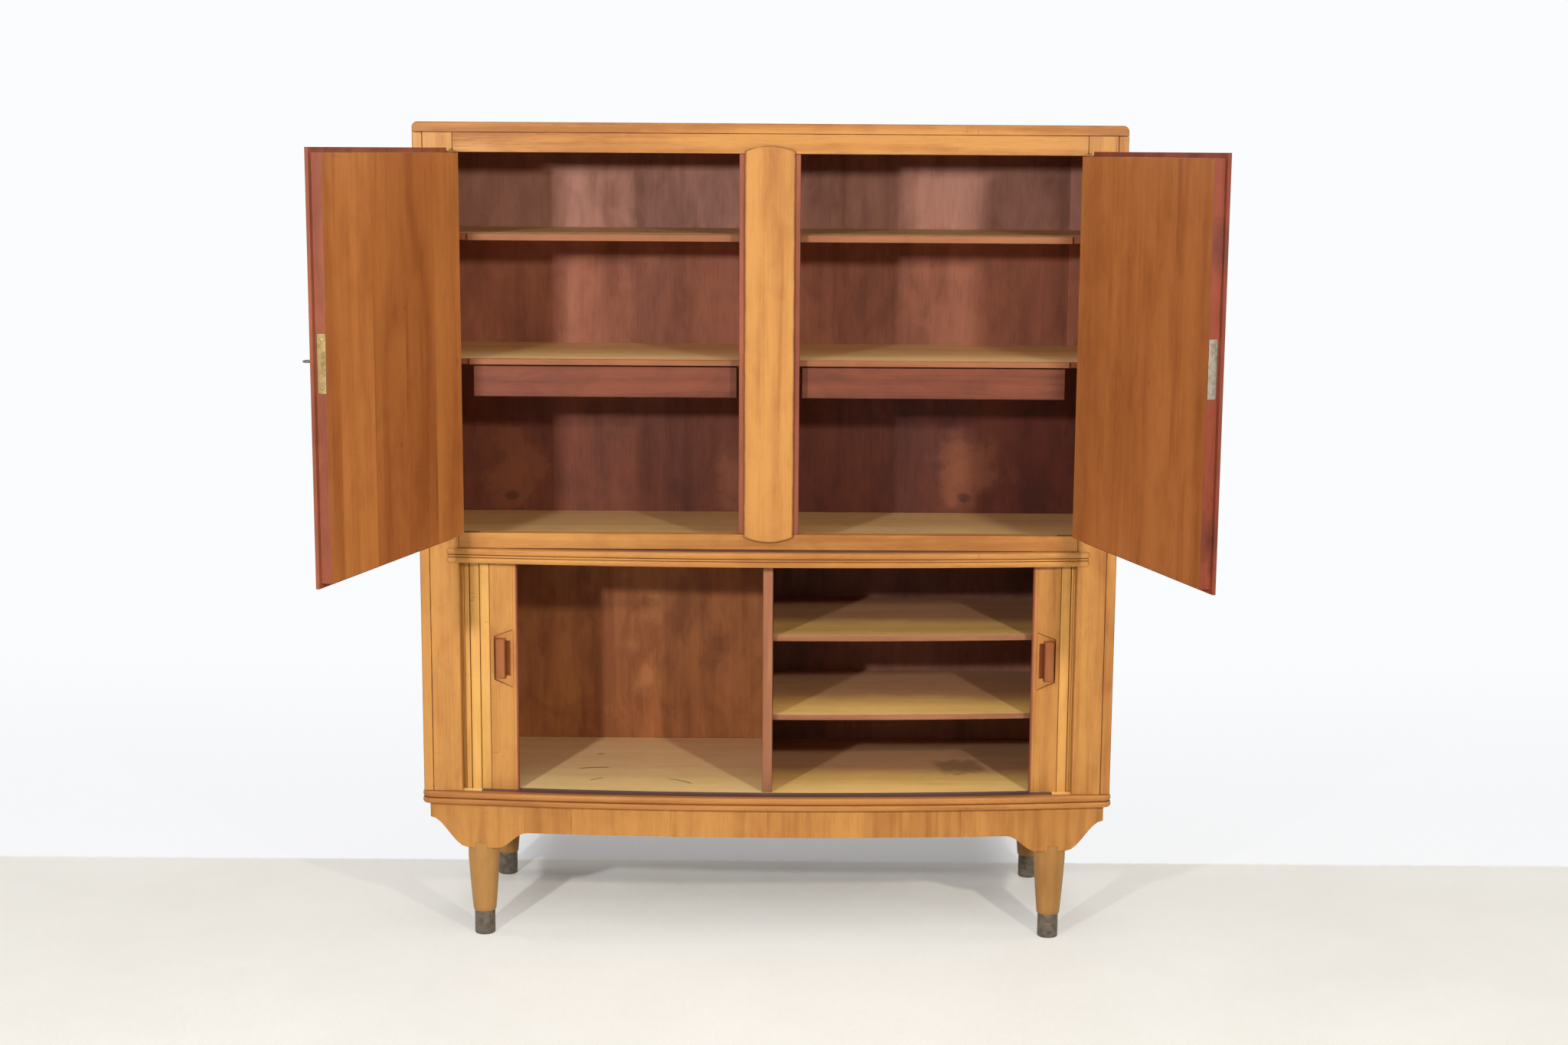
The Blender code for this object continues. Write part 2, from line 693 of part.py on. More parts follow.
def build_lock(side, door_pivot):
    face = CORE_EDGE
    plate = box(
        sided(side, "lock"),
        across(side, face, face + PLATE_THICKNESS),
        (BOLT_Y - PLATE_WIDTH / 2, BOLT_Y + PLATE_WIDTH / 2),
        (LOCK_Z - PLATE_HEIGHT / 2, LOCK_Z + PLATE_HEIGHT / 2),
        BRASS,
    )
    case = box(
        sided(side, "lock_case"),
        across(side, face + PLATE_THICKNESS / 2, face + PLATE_THICKNESS + LOCK_DEPTH),
        (BOLT_Y - LOCK_THICKNESS / 2, BOLT_Y + LOCK_THICKNESS / 2),
        (LOCK_Z - LOCK_HEIGHT / 2, LOCK_Z + LOCK_HEIGHT / 2),
        None,
    )
    bolt_y = (BOLT_Y - BOLT_THICKNESS / 2, BOLT_Y + BOLT_THICKNESS / 2)
    bolt_z = (LOCK_Z - BOLT_HEIGHT / 2, LOCK_Z + BOLT_HEIGHT / 2)
    slot = box(
        sided(side, "bolt_slot"),
        across(side, face - PLATE_THICKNESS, face + BOLT_LENGTH + 2 * GAP),
        (bolt_y[0] - GAP, bolt_y[1] + GAP),
        (bolt_z[0] - GAP, bolt_z[1] + GAP),
        None,
    )
    bolt = box(
        sided(side, "lock_bolt"),
        across(side, face + GAP, face + GAP + BOLT_LENGTH),
        bolt_y,
        bolt_z,
        BRASS,
    )
    key_x = side * (face + KEY_BACKSET)
    keyhole = rod(
        sided(side, "keyhole"),
        (key_x, HINGE_Y - GAP, LOCK_Z),
        (key_x, BOLT_Y + GAP, LOCK_Z),
        KEY_RADIUS + KEYHOLE_ROOM / 2,
        None,
    )
    fuse(plate, case)
    cut(plate, slot, keyhole)
    hang(door_pivot, plate, case, slot, bolt, keyhole)


def build_key(side, door_pivot):
    key_x = side * (CORE_EDGE + KEY_BACKSET)
    tip = HINGE_Y - KEY_PROUD
    bow_y_place = tip + KEY_BOW_RADIUS + KEY_BOW_WIRE
    inner = BOLT_Y - GAP
    shank_end = bow_y_place + KEY_BOW_RADIUS - KEY_BOW_WIRE / 2
    key = rod(sided(side, "key"), (key_x, inner, LOCK_Z), (key_x, shank_end, LOCK_Z), KEY_RADIUS, BRASS, 12)
    mesh = bpy.data.meshes.new("key_bow")
    shape = bmesh.new()
    ring = bmesh.ops.create_circle(shape, segments=8, radius=KEY_BOW_WIRE)
    for vertex in ring["verts"]:
        vertex.co = (KEY_BOW_RADIUS + vertex.co.x, 0.0, vertex.co.y)
    bmesh.ops.spin(
        shape,
        geom=shape.edges[:],
        cent=(0, 0, 0),
        axis=(0, 0, 1),
        angle=2 * math.pi,
        steps=20,
        use_merge=True,
    )
    bmesh.ops.remove_doubles(shape, verts=shape.verts, dist=1e-6)
    bmesh.ops.recalc_face_normals(shape, faces=shape.faces)
    shape.to_mesh(mesh)
    shape.free()
    bow = add_object("key_bow", mesh, None)
    bow.location = (key_x, bow_y_place, LOCK_Z)
    fuse(key, bow)
    hang(door_pivot, key, bow)


def build_door(side):
    door_pivot = pivot(sided(side, "door_axis"), (side * HINGE_X, HINGE_Y, DOOR_LOW))
    door = box(
        sided(side, "door"),
        across(side, CORE_EDGE, CORE_HINGE_EDGE),
        (-GAP - LIP_THICKNESS / 2, CORE_THICKNESS),
        (CORE_LOW, CORE_HIGH),
        TEAK,
    )
    lip = box(
        sided(side, "door_lip"),
        across(side, POST_HALF - LIP, HINGE_X),
        (HINGE_Y, -GAP),
        (DOOR_LOW - LIP, DOOR_HIGH + LIP),
        None,
    )
    fuse(door, lip)
    cutters = []
    notch_x = across(side, HINGE_X - LIP_NOTCH, HINGE_X + GAP)
    notch_y = (HINGE_Y - GAP, GAP)
    top = CORE_HIGH - HINGE_PLATE - GAP
    low = CORE_LOW + HINGE_PLATE + GAP
    cutters.append(box(sided(side, "upper_lip_notch"), notch_x, notch_y, (top, DOOR_HIGH + 2 * LIP), None))
    cutters.append(box(sided(side, "lower_lip_notch"), notch_x, notch_y, (DOOR_LOW - 2 * LIP, low), None))
    outline = hinge_outline(side, GAP)
    cutters.append(slab(sided(side, "upper_leaf_seat"), outline, (top, CORE_HIGH + GAP), None))
    cutters.append(slab(sided(side, "lower_leaf_seat"), outline, (CORE_LOW - GAP, low), None))
    cutters.append(
        box(
            sided(side, "plate_seat"),
            across(side, CORE_EDGE - GAP, CORE_EDGE + PLATE_THICKNESS + GAP),
            (BOLT_Y - PLATE_WIDTH / 2 - GAP, BOLT_Y + PLATE_WIDTH / 2 + GAP),
            (LOCK_Z - PLATE_HEIGHT / 2 - GAP, LOCK_Z + PLATE_HEIGHT / 2 + GAP),
            None,
        )
    )
    cutters.append(
        box(
            sided(side, "lock_mortise"),
            across(side, CORE_EDGE, CORE_EDGE + PLATE_THICKNESS + LOCK_DEPTH + GAP),
            (BOLT_Y - LOCK_THICKNESS / 2 - GAP, BOLT_Y + LOCK_THICKNESS / 2 + GAP),
            (LOCK_Z - LOCK_HEIGHT / 2 - GAP, LOCK_Z + LOCK_HEIGHT / 2 + GAP),
            None,
        )
    )
    key_x = side * (CORE_EDGE + KEY_BACKSET)
    cutters.append(
        rod(
            sided(side, "door_keyhole"),
            (key_x, HINGE_Y - DOOR_GAP, LOCK_Z),
            (key_x, BOLT_Y, LOCK_Z),
            KEY_RADIUS + KEYHOLE_ROOM,
            None,
        )
    )
    cut(door, *cutters)
    hang(door_pivot, door, lip, *cutters)
    build_hinges(side, door_pivot)
    build_lock(side, door_pivot)
    if side < 0:
        build_key(side, door_pivot)
    door_pivot.rotation_euler.z = side * OPEN_ANGLE


# Shelves and drawers


def build_upper_shelves(side):
    inner = PARTITION / 2 + GAP
    outer = INNER_HALF - GAP
    depth = (SHELF_FRONT, BACK_FACE - GAP)
    notch_x = across(side, OPENING_HALF - SHELF_NOTCH_WIDTH, CASE_HALF)
    notch_y = (0, SHELF_FRONT + SHELF_NOTCH_DEPTH)
    notch_z = (UPPER_FLOOR, FRAME_TOP)
    notch = box(sided(side, "shelf_notch"), notch_x, notch_y, notch_z, None)
    span = (UPPER_SHELF_TOP - UPPER_SHELF, UPPER_SHELF_TOP)
    shelf = box(sided(side, "upper_shelf"), across(side, inner, outer), depth, span, PALE_WOOD)
    cut(shelf, notch)
    low = DRAWER_SHELF_TOP - DRAWER_SHELF
    near = DRAWER_NEAR
    far = DRAWER_FAR
    front_top = low - DRAWER_TOP_GAP
    flange_low = front_top - TRAY_DROP - FLANGE_THICKNESS
    ledge_top = flange_low - GAP
    ledge_low = ledge_top - RUNNER_LEDGE
    web = RUNNER_SETBACK + RUNNER_WEB
    ledge = TRAY_INSET - RUN_GAP
    shelf = box(
        sided(side, "drawer_shelf"),
        across(side, inner, outer),
        depth,
        (low, DRAWER_SHELF_TOP),
        PALE_WOOD,
    )
    root = low + DRAWER_SHELF / 2
    section = [(RUNNER_SETBACK, root), (RUNNER_SETBACK, ledge_low), (ledge, ledge_low), (ledge, ledge_top)]
    section += [(web, ledge_top), (web, root)]
    runner_y = (DRAWER_FRONT_Y + DRAWER_FRONT + GAP, depth[1] - RUN_GAP)
    for row, edge, inward in (("near_runner", near, 1), ("far_runner", far, -1)):
        outline = [(side * (edge + inward * reach), z) for reach, z in section]
        fuse(shelf, slab(sided(side, row), outline, runner_y, None, "XZ"))
    cut(shelf, notch)


def build_drawer(side):
    near = DRAWER_NEAR
    far = DRAWER_FAR
    top = DRAWER_SHELF_TOP - DRAWER_SHELF - DRAWER_TOP_GAP
    face = (DRAWER_FRONT_Y, DRAWER_FRONT_Y + DRAWER_FRONT)
    slide = pivot(sided(side, "drawer_slide"), (side * (near + far) / 2, face[0], top))
    front = box(sided(side, "drawer_front"), across(side, near, far), face, (top - DRAWER_HEIGHT, top), RED_TEAK)
    tray_top = top - TRAY_DROP
    tray_low = top - DRAWER_HEIGHT + DRAWER_FLOOR / 2
    depth = (face[1] + GAP, BACK_FACE - DRAWER_BACK_ROOM)
    wall = TRAY_INSET + DRAWER_WALL
    tray = box(
        sided(side, "drawer_tray"),
        across(side, near + TRAY_INSET, far - TRAY_INSET),
        depth,
        (tray_low, tray_top),
        PALE_WOOD,
    )
    flange = box(
        sided(side, "drawer_flange"),
        across(side, near + TRAY_INSET - FLANGE_REACH, far - TRAY_INSET + FLANGE_REACH),
        depth,
        (tray_top - FLANGE_THICKNESS, tray_top),
        None,
    )
    hollow = box(
        sided(side, "drawer_hollow"),
        across(side, near + wall, far - wall),
        (depth[0] + DRAWER_WALL, depth[1] - DRAWER_WALL),
        (tray_low + DRAWER_FLOOR, tray_top + DRAWER_FLOOR),
        None,
    )
    fuse(tray, flange)
    cut(tray, hollow)
    hang(slide, front, tray, flange, hollow)


def build_lower_shelves():
    inner = DIVIDER / 2 + GAP
    outer = LINER_X - LINER - GAP
    back = BACK_FACE - GAP
    setback = -CURTAIN - LOWER_SHELF_SETBACK
    turn = outer - TURN_RADIUS
    outline = bow_arc(setback, inner, turn, 8) + [(outer, LINER_FRONT), (outer, back), (inner, back)]
    for name, rise in (("lower_shelf_high", HIGH_SHELF_RISE), ("lower_shelf_low", LOW_SHELF_RISE)):
        slab(name, outline, (FLOOR + rise - LOWER_SHELF, FLOOR + rise), PALE_WOOD)


# Tambour shutters


def build_shutter(side, lead, slats):
    axis = pivot(sided(side, "shutter_axis"), (0, BOW_CENTRE, FLOOR))
    face = CURTAIN / 2
    height = (SLAT_LOW, SLAT_HIGH)
    end = MEETING_GAP + LEADER_WIDTH
    leader = slab(
        sided(side, "shutter_leader"),
        mirrored(side, run_band(MEETING_GAP, end, face, -face, 3)),
        height,
        TEAK,
    )
    grip_z = FLOOR + GRIP_RISE
    grip_start = MEETING_GAP + GRIP_SETBACK
    grip = slab(
        sided(side, "grip"),
        mirrored(side, run_band(grip_start, grip_start + GRIP_WIDTH, face + GRIP_PROUD, -face / 2, 2)),
        (grip_z - GRIP_HEIGHT / 2, grip_z + GRIP_HEIGHT / 2),
        None,
    )
    finger_start = grip_start - FINGER_WIDTH
    finger = slab(
        sided(side, "finger_hollow"),
        mirrored(side, run_band(finger_start, grip_start + GRIP_WIDTH / 4, face + GRIP_PROUD, face - FINGER_DEPTH, 2)),
        (grip_z - FINGER_HEIGHT / 2, grip_z + FINGER_HEIGHT / 2),
        None,
    )
    cut(leader, finger)
    fuse(leader, grip)
    front = slab(sided(side, "shutter_slats"), mirrored(side, slat_band(end + GAP, slats)), height, TEAK)
    hang(axis, leader, grip, finger, front)
    travel = RUN_RADIUS * math.asin(lead / RUN_RADIUS) - MEETING_GAP
    axis.rotation_euler.z = side * travel / RUN_RADIUS
    start = travel + end + slats * SLAT + 2 * GAP
    room = FRONT_RUN + TURN_RUN + TRACK_END - RUN_END_ROOM - TURN_Y - start
    outline = mirrored(side, slat_band(start, math.floor(room / SLAT)))
    slab(sided(side, "shutter_curtain"), outline, height, TEAK)


# Base


def bracket(drop_from, drop_to, start, end, steps=7):
    """An S-shaped edge between two levels."""
    points = []
    for t in ramp(0, 1, steps):
        ease = 0.5 - 0.5 * math.cos(math.pi * t)
        points.append((start + (end - start) * t, APRON_TOP - drop_from - (drop_to - drop_from) * ease))
    return points


def leg_place(front):
    if front:
        return bow_y(APRON_PROUD, LEG_X) + LEG_RADIUS - LEG_PROUD
    return CASE_DEPTH - LEG_RADIUS - LEG_BACK_INSET


def leg_profile(tenon, room):
    """From the top of the tenon down to the foot, with room added for a housing."""
    shoulder = APRON_TOP - LOBE_DROP + LEG_HOUSING
    spigot = FERRULE_RADIUS - FERRULE_WALL - GAP
    return [
        (0.0, APRON_TOP - GAP + 2 * room),
        (tenon + room, APRON_TOP - GAP + 2 * room),
        (tenon + room, shoulder + room),
        (LEG_RADIUS + room, shoulder + room),
        (LEG_RADIUS + room, shoulder - LEG_RADIUS),
        (LEG_FOOT_RADIUS + room, FERRULE_HEIGHT + GAP),
        (spigot + room, FERRULE_HEIGHT + GAP),
        (spigot + room, FERRULE_FLOOR + GAP),
        (0.0, FERRULE_FLOOR + GAP),
    ]


def build_base():
    half = CASE_HALF - APRON_INSET
    back_proud = APRON_PROUD - APRON_THICKNESS
    low = APRON_TOP - LOBE_DROP
    top = APRON_TOP - GAP
    front = slab("front_apron", bow_band(APRON_PROUD, back_proud, half), (low, top), TEAK)
    inner = bracket(APRON_DROP, LOBE_DROP, LEG_X - LOBE_HALF - BRACKET_RUN, LEG_X - LOBE_HALF)
    outer = bracket(LOBE_DROP, END_DROP, LEG_X + LOBE_HALF, half)
    lower_edge = inner + outer
    under = low - LOBE_DROP
    outline = lower_edge + [(half + END_DROP, lower_edge[-1][1]), (half + END_DROP, under)]
    outline += [(-half - END_DROP, under), (-half - END_DROP, lower_edge[-1][1])]
    outline += [(-x, z) for x, z in reversed(lower_edge)]
    cut(front, slab("apron_shape", outline, (-CASE_DEPTH, CASE_DEPTH), None, "XZ"))
    for side in (-1, 1):
        start = bow_y(back_proud, half) + GAP
        box(
            sided(side, "side_apron"),
            across(side, half - APRON_THICKNESS, half),
            (start, CASE_DEPTH - LEG_BACK_INSET),
            (APRON_TOP - END_DROP, top),
            TEAK,
        )
        for is_front, row in ((True, "front_"), (False, "back_")):
            place = (side * LEG_X, leg_place(is_front), 0)
            name = row + sided(side, "leg")
            tenon = LEG_TENON if is_front else LEG_RADIUS - LEG_PROUD
            turned(name, leg_profile(tenon, 0), place, LEG_WOOD)
            if is_front:
                housing = turned(name + "_housing", leg_profile(tenon, GAP), place, None)
                cut(front, housing)
            bore = FERRULE_RADIUS - FERRULE_WALL
            cup = [
                (0.0, FERRULE_FLOOR),
                (bore, FERRULE_FLOOR),
                (bore, FERRULE_HEIGHT),
                (FERRULE_RADIUS, FERRULE_HEIGHT),
                (FERRULE_RADIUS, 0.0),
                (0.0, 0.0),
            ]
            turned(row + sided(side, "ferrule"), cup, place, DARK_METAL)


build_case()
build_boards()
build_mouldings()
build_frame()
for half_side in (-1, 1):
    build_door(half_side)
    build_upper_shelves(half_side)
    build_drawer(half_side)
build_lower_shelves()
build_shutter(-1, LEFT_LEAD, LEFT_SLAT_COUNT)
build_shutter(1, RIGHT_LEAD, RIGHT_SLAT_COUNT)
build_base()

origin = pivot("cabinet_origin", (0, 0, 0))
for item in [*CABINET.objects, *CUTTERS.objects]:
    if item.parent is None and item != origin:
        item.parent = origin
origin.location.y = FRONT_PLANE_Y
bpy.context.view_layer.update()
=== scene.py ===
from math import asin, cos, pi, radians, sin, sqrt

import bmesh
import bpy
from mathutils import Matrix, Vector


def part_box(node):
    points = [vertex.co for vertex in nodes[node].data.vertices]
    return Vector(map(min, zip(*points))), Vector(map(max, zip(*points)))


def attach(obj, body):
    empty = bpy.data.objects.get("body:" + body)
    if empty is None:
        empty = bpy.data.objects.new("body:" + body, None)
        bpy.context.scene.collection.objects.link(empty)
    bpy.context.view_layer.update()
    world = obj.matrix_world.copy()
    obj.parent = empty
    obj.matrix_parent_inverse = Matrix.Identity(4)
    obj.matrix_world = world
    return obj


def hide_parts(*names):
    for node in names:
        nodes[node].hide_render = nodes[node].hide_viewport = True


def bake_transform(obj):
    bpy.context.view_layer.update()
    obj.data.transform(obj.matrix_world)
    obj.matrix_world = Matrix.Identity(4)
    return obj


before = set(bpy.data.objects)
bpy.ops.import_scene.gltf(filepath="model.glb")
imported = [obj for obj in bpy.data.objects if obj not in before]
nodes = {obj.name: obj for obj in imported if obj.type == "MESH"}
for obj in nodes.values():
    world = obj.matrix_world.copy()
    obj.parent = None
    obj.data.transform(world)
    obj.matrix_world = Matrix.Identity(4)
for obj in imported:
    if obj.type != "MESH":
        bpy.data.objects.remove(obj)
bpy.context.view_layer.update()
scene = bpy.context.scene
print("frame loaded:", len(nodes), "nodes")

# Sizes that several pieces share, in metres
frontY = 0.044167  # front plane of the case
cabinet = {
    "backY": frontY + 0.395,
    "bowRadius": 4.7,
    "bowCentreY": 4.735347,
    "openAngle": radians(106.4),
    "hingeX": 0.540,
    "hingeY": frontY - 0.0063,
    "floorZ": 0.265,
    "ceilingZ": 0.680,
    "runRadius": 4.6955,  # middle line of the tambour
}
facing = 0.6  # a face looks a way when its normal has at least this share of it
sides = (-1, 1)  # left and right


# Small helpers for node trees


def addNode(tree, kind, **settings):
    node = tree.nodes.new(kind)
    for label, value in settings.items():
        setattr(node, label, value)
    return node


def feed(tree, socket, value):
    if isinstance(value, bpy.types.NodeSocket):
        tree.links.new(value, socket)
    else:
        socket.default_value = value


# Feeds a node's inputs by their names
def fill(tree, node, values):
    for label, value in values.items():
        feed(tree, node.inputs[label], value)
    return node.outputs


def sums(tree, operation, first, second=None, third=None, clamp=False):
    node = addNode(tree, "ShaderNodeMath", operation=operation, use_clamp=clamp)
    for socket, value in zip(node.inputs, (first, second, third)):
        if value is not None:
            feed(tree, socket, value)
    return node.outputs[0]


def times(tree, first, second, clamp=False):
    return sums(tree, "MULTIPLY", first, second, clamp=clamp)


def timesPlus(tree, first, second, third):
    return sums(tree, "MULTIPLY_ADD", first, second, third)


def distance(tree, first, second):
    return sums(tree, "SQRT", timesPlus(tree, first, first, times(tree, second, second)))


def blendTones(tree, amount, first, second, mode="MIX"):
    node = addNode(tree, "ShaderNodeMix", data_type="RGBA", blend_type=mode, clamp_factor=True)
    feed(tree, node.inputs[0], amount)
    feed(tree, node.inputs[6], first)
    feed(tree, node.inputs[7], second)
    return node.outputs[2]


def axes(tree, place):
    return fill(tree, addNode(tree, "ShaderNodeSeparateXYZ"), {"Vector": place})


def stretch(tree, place, scale):
    node = addNode(tree, "ShaderNodeVectorMath", operation="MULTIPLY")
    feed(tree, node.inputs[0], place)
    feed(tree, node.inputs[1], scale)
    return node.outputs[0]


def cloud(tree, place, scale, detail=2.0, rough=0.5, twist=0.0):
    values = {"Vector": place, "Scale": scale, "Detail": detail, "Roughness": rough, "Distortion": twist}
    return fill(tree, addNode(tree, "ShaderNodeTexNoise"), values)["Fac"]


def between(tree, value, low, high):
    node = addNode(tree, "ShaderNodeMapRange", interpolation_type="SMOOTHSTEP")
    return fill(tree, node, {"Value": value, "From Min": low, "From Max": high})["Result"]


def newGroup(name, inputs, outputs):
    group = bpy.data.node_groups.new(name, "ShaderNodeTree")
    for label, kind, value in inputs:
        socket = group.interface.new_socket(label, in_out="INPUT", socket_type="NodeSocket" + kind)
        if value is not None:
            socket.default_value = value
    for label, kind in outputs:
        group.interface.new_socket(label, in_out="OUTPUT", socket_type="NodeSocket" + kind)
    return group, group.nodes.new("NodeGroupInput").outputs, group.nodes.new("NodeGroupOutput").inputs


def placeGroup(tree, group, values):
    return fill(tree, addNode(tree, "ShaderNodeGroup", node_tree=group), values)


# Noise layers of the wood: length along the grain, scale, detail, roughness, twist, and the range that shows
grainLayers = {
    "wander": (0.2, 6.0, 3.0, 0.5, 0.5, None),
    "flame": (0.42, 4.2, 3.0, 0.5, 0.6, None),
    "streak": (0.05, 30, 4.0, 0.5, 0.0, (0.34, 0.68)),
    "sparse": (0.045, 62, 3.0, 0.5, 0.3, (0.56, 0.74)),
    "broad": (0.26, 7.5, 5.0, 0.6, 0.0, (0.34, 0.68)),
    "mottle": (0.55, 21, 4.0, 0.55, 0.9, (0.36, 0.72)),
    "hair": (0.03, 170, 2.0, 0.6, 0.0, (0.4, 0.7)),
    "pore": (0.022, 1150, 1.0, 0.5, 0.0, (0.6, 0.72)),
}
# Strength of the layers; of two numbers the first goes with the luck of the plank
grainMix = {
    "plankShift": {"X": 0.37, "Y": 1.7, "Z": 2.3},
    "ringTilt": 0.6,
    "ringPower": 2.4,
    "ring": (0.30, 0.12),
    "sparse": (0.22, 0.07),
    "streak": 0.22,
    "hair": 0.12,
    "broad": 0.40,
    "mottle": 0.20,
    "contrast": (1.55, -0.29),
    "pore": 0.22,
    "sparsePore": 0.5,
    "plankDark": 0.5,
    "poreRough": 0.12,
    "streakRough": 0.07,
    "streakHeight": 0.45,
}


# Wood grain that runs along Z of the place it is given, with planks side by side along X
def makeWoodGrain():
    group, given, out = newGroup(
        "woodGrain",
        [
            ("Place", "Vector", None),
            ("Light", "Color", (0.7, 0.35, 0.1, 1)),
            ("Dark", "Color", (0.5, 0.2, 0.05, 1)),
            ("Pore", "Color", (0.3, 0.1, 0.03, 1)),
            ("Rings", "Float", 26.0),
            ("Wander", "Float", 1.6),
            ("Flame", "Float", 0.0),
            ("Streak", "Float", 0.8),
            ("Lines", "Float", 1.0),
            ("Clouds", "Float", 1.0),
            ("Plank", "Float", 0.3),
            ("Plank Shift", "Float", 0.25),
            ("Base Rough", "Float", 0.38),
        ],
        [("Color", "Color"), ("Rough", "Float"), ("Height", "Float")],
    )
    split = axes(group, given["Place"])
    plank = sums(group, "FLOOR", sums(group, "DIVIDE", split["X"], given["Plank"]))
    luck = fill(group, addNode(group, "ShaderNodeTexWhiteNoise", noise_dimensions="1D"), {"W": plank})["Value"]
    # each plank shows another part of the wood
    shifted = {axis: timesPlus(group, luck, shift, split[axis]) for axis, shift in grainMix["plankShift"].items()}
    board = fill(group, addNode(group, "ShaderNodeCombineXYZ"), shifted)["Vector"]
    layers = {}
    for name, (length, *noise, span) in grainLayers.items():
        layer = cloud(group, stretch(group, board, (1, 1, length)), *noise)
        layers[name] = between(group, layer, *span) if span else layer
    across = timesPlus(group, split["Y"], grainMix["ringTilt"], split["X"])
    phase = timesPlus(group, across, given["Rings"], times(group, layers["wander"], given["Wander"]))
    phase = timesPlus(group, layers["flame"], given["Flame"], phase)
    wave = timesPlus(group, sums(group, "SINE", times(group, phase, 2 * pi)), 0.5, 0.5)
    ring = sums(group, "POWER", wave, grainMix["ringPower"])
    # some boards show their rings strongly, most hardly at all
    strength = timesPlus(group, times(group, luck, luck), *grainMix["ring"])
    lines = timesPlus(group, ring, strength, times(group, layers["streak"], grainMix["streak"]))
    sparse = times(group, layers["sparse"], timesPlus(group, luck, *grainMix["sparse"]))
    lines = timesPlus(group, layers["hair"], grainMix["hair"], sums(group, "ADD", lines, sparse))
    clouds = timesPlus(group, layers["broad"], grainMix["broad"], times(group, layers["mottle"], grainMix["mottle"]))
    figure = timesPlus(group, lines, given["Lines"], times(group, clouds, given["Clouds"]))
    # more contrast about the middle tone
    figure = timesPlus(group, figure, *grainMix["contrast"])
    figure = times(group, figure, given["Streak"], clamp=True)
    colour = blendTones(group, figure, given["Light"], given["Dark"])
    pores = timesPlus(group, layers["pore"], grainMix["pore"], times(group, sparse, grainMix["sparsePore"]))
    colour = blendTones(group, pores, colour, given["Pore"])
    shade = times(group, luck, given["Plank Shift"])
    colour = blendTones(group, shade, colour, given["Dark"], "MULTIPLY")
    shade = times(group, shade, grainMix["plankDark"])
    feed(group, out["Color"], blendTones(group, shade, colour, given["Dark"]))
    rough = timesPlus(group, layers["pore"], grainMix["poreRough"], given["Base Rough"])
    feed(group, out["Rough"], timesPlus(group, layers["streak"], grainMix["streakRough"], rough))
    height = times(group, layers["streak"], grainMix["streakHeight"])
    feed(group, out["Height"], timesPlus(group, layers["pore"], -1.0, height))
    return group


# A knot's flame stands above it by a share of its reach, with rings in it; its heart is small and dark
knotShape = {
    "rise": 0.85,
    "squash": 0.8,
    "noise": (10, 5.0, 0.65),
    "bend": 3.4,
    "flameSpan": (1.25, 0.0),
    "rings": 10.0,
    "ringPower": 5.0,
    "ringSpan": (1.9, 0.7),
    "ringShare": 0.16,
    "heartAcross": 5.5,
    "heartUp": 9.0,
    "heartBend": 0.5,
    "heartSpan": (1.6, 0.6),
}


def makeKnotFigure():
    group, given, out = newGroup(
        "knotFigure",
        [
            ("Color", "Color", None),
            ("Place", "Vector", None),
            ("Spot", "Vector", None),
            ("Reach", "Float", 0.05),
            ("Glow", "Color", (0.4, 0.16, 0.07, 1)),
            ("Core", "Color", (0.05, 0.02, 0.01, 1)),
            ("Amount", "Float", 0.7),
            ("Heart", "Float", 0.5),
        ],
        [("Color", "Color")],
    )
    away = addNode(group, "ShaderNodeVectorMath", operation="SUBTRACT")
    feed(group, away.inputs[0], given["Place"])
    feed(group, away.inputs[1], given["Spot"])
    split = axes(group, away.outputs[0])
    x = sums(group, "DIVIDE", split["X"], given["Reach"])
    z = sums(group, "DIVIDE", split["Z"], given["Reach"])
    bend = sums(group, "SUBTRACT", cloud(group, given["Place"], *knotShape["noise"]), 0.5)
    high = times(group, sums(group, "SUBTRACT", z, knotShape["rise"]), knotShape["squash"])
    spread = timesPlus(group, bend, knotShape["bend"], distance(group, x, high))
    flame = times(group, between(group, spread, *knotShape["flameSpan"]), given["Amount"])
    colour = blendTones(group, flame, given["Color"], given["Glow"])
    lines = timesPlus(group, sums(group, "SINE", times(group, spread, knotShape["rings"])), 0.5, 0.5)
    lines = sums(group, "POWER", lines, knotShape["ringPower"])
    lines = times(group, lines, between(group, spread, *knotShape["ringSpan"]))
    lines = times(group, lines, times(group, given["Amount"], knotShape["ringShare"]))
    colour = blendTones(group, lines, colour, given["Core"])
    x = times(group, x, knotShape["heartAcross"])
    z = times(group, timesPlus(group, bend, knotShape["heartBend"], z), knotShape["heartUp"])
    heart = between(group, distance(group, x, z), *knotShape["heartSpan"])
    feed(group, out["Color"], blendTones(group, times(group, heart, given["Heart"]), colour, given["Core"]))
    return group


# Patches made of noise: scale, detail, roughness and the range that shows
patchNoise = {
    "wear": (26, 4.0, 0.6, (0.2, 0.65)),
    "dents": (5.5, 2.0, 0.5, (0.5, 0.62)),
    "nick": (210, 1.0, 0.5, (0.72, 0.77)),
    "nicks": (11, 1.0, 0.5, (0.55, 0.68)),
    "film": (3.1, 4.0, 0.6, (0.35, 0.8)),
    "tarnish": (95, 5.0, 0.65, (0.36, 0.7)),
    "soil": (22, 4.0, 0.6, (0.4, 0.8)),
    "carpet": (3.2, 4.0, 0.6, (0.3, 0.7)),
}


def patches(tree, place, name):
    *noise, span = patchNoise[name]
    return between(tree, cloud(tree, place, *noise), *span)


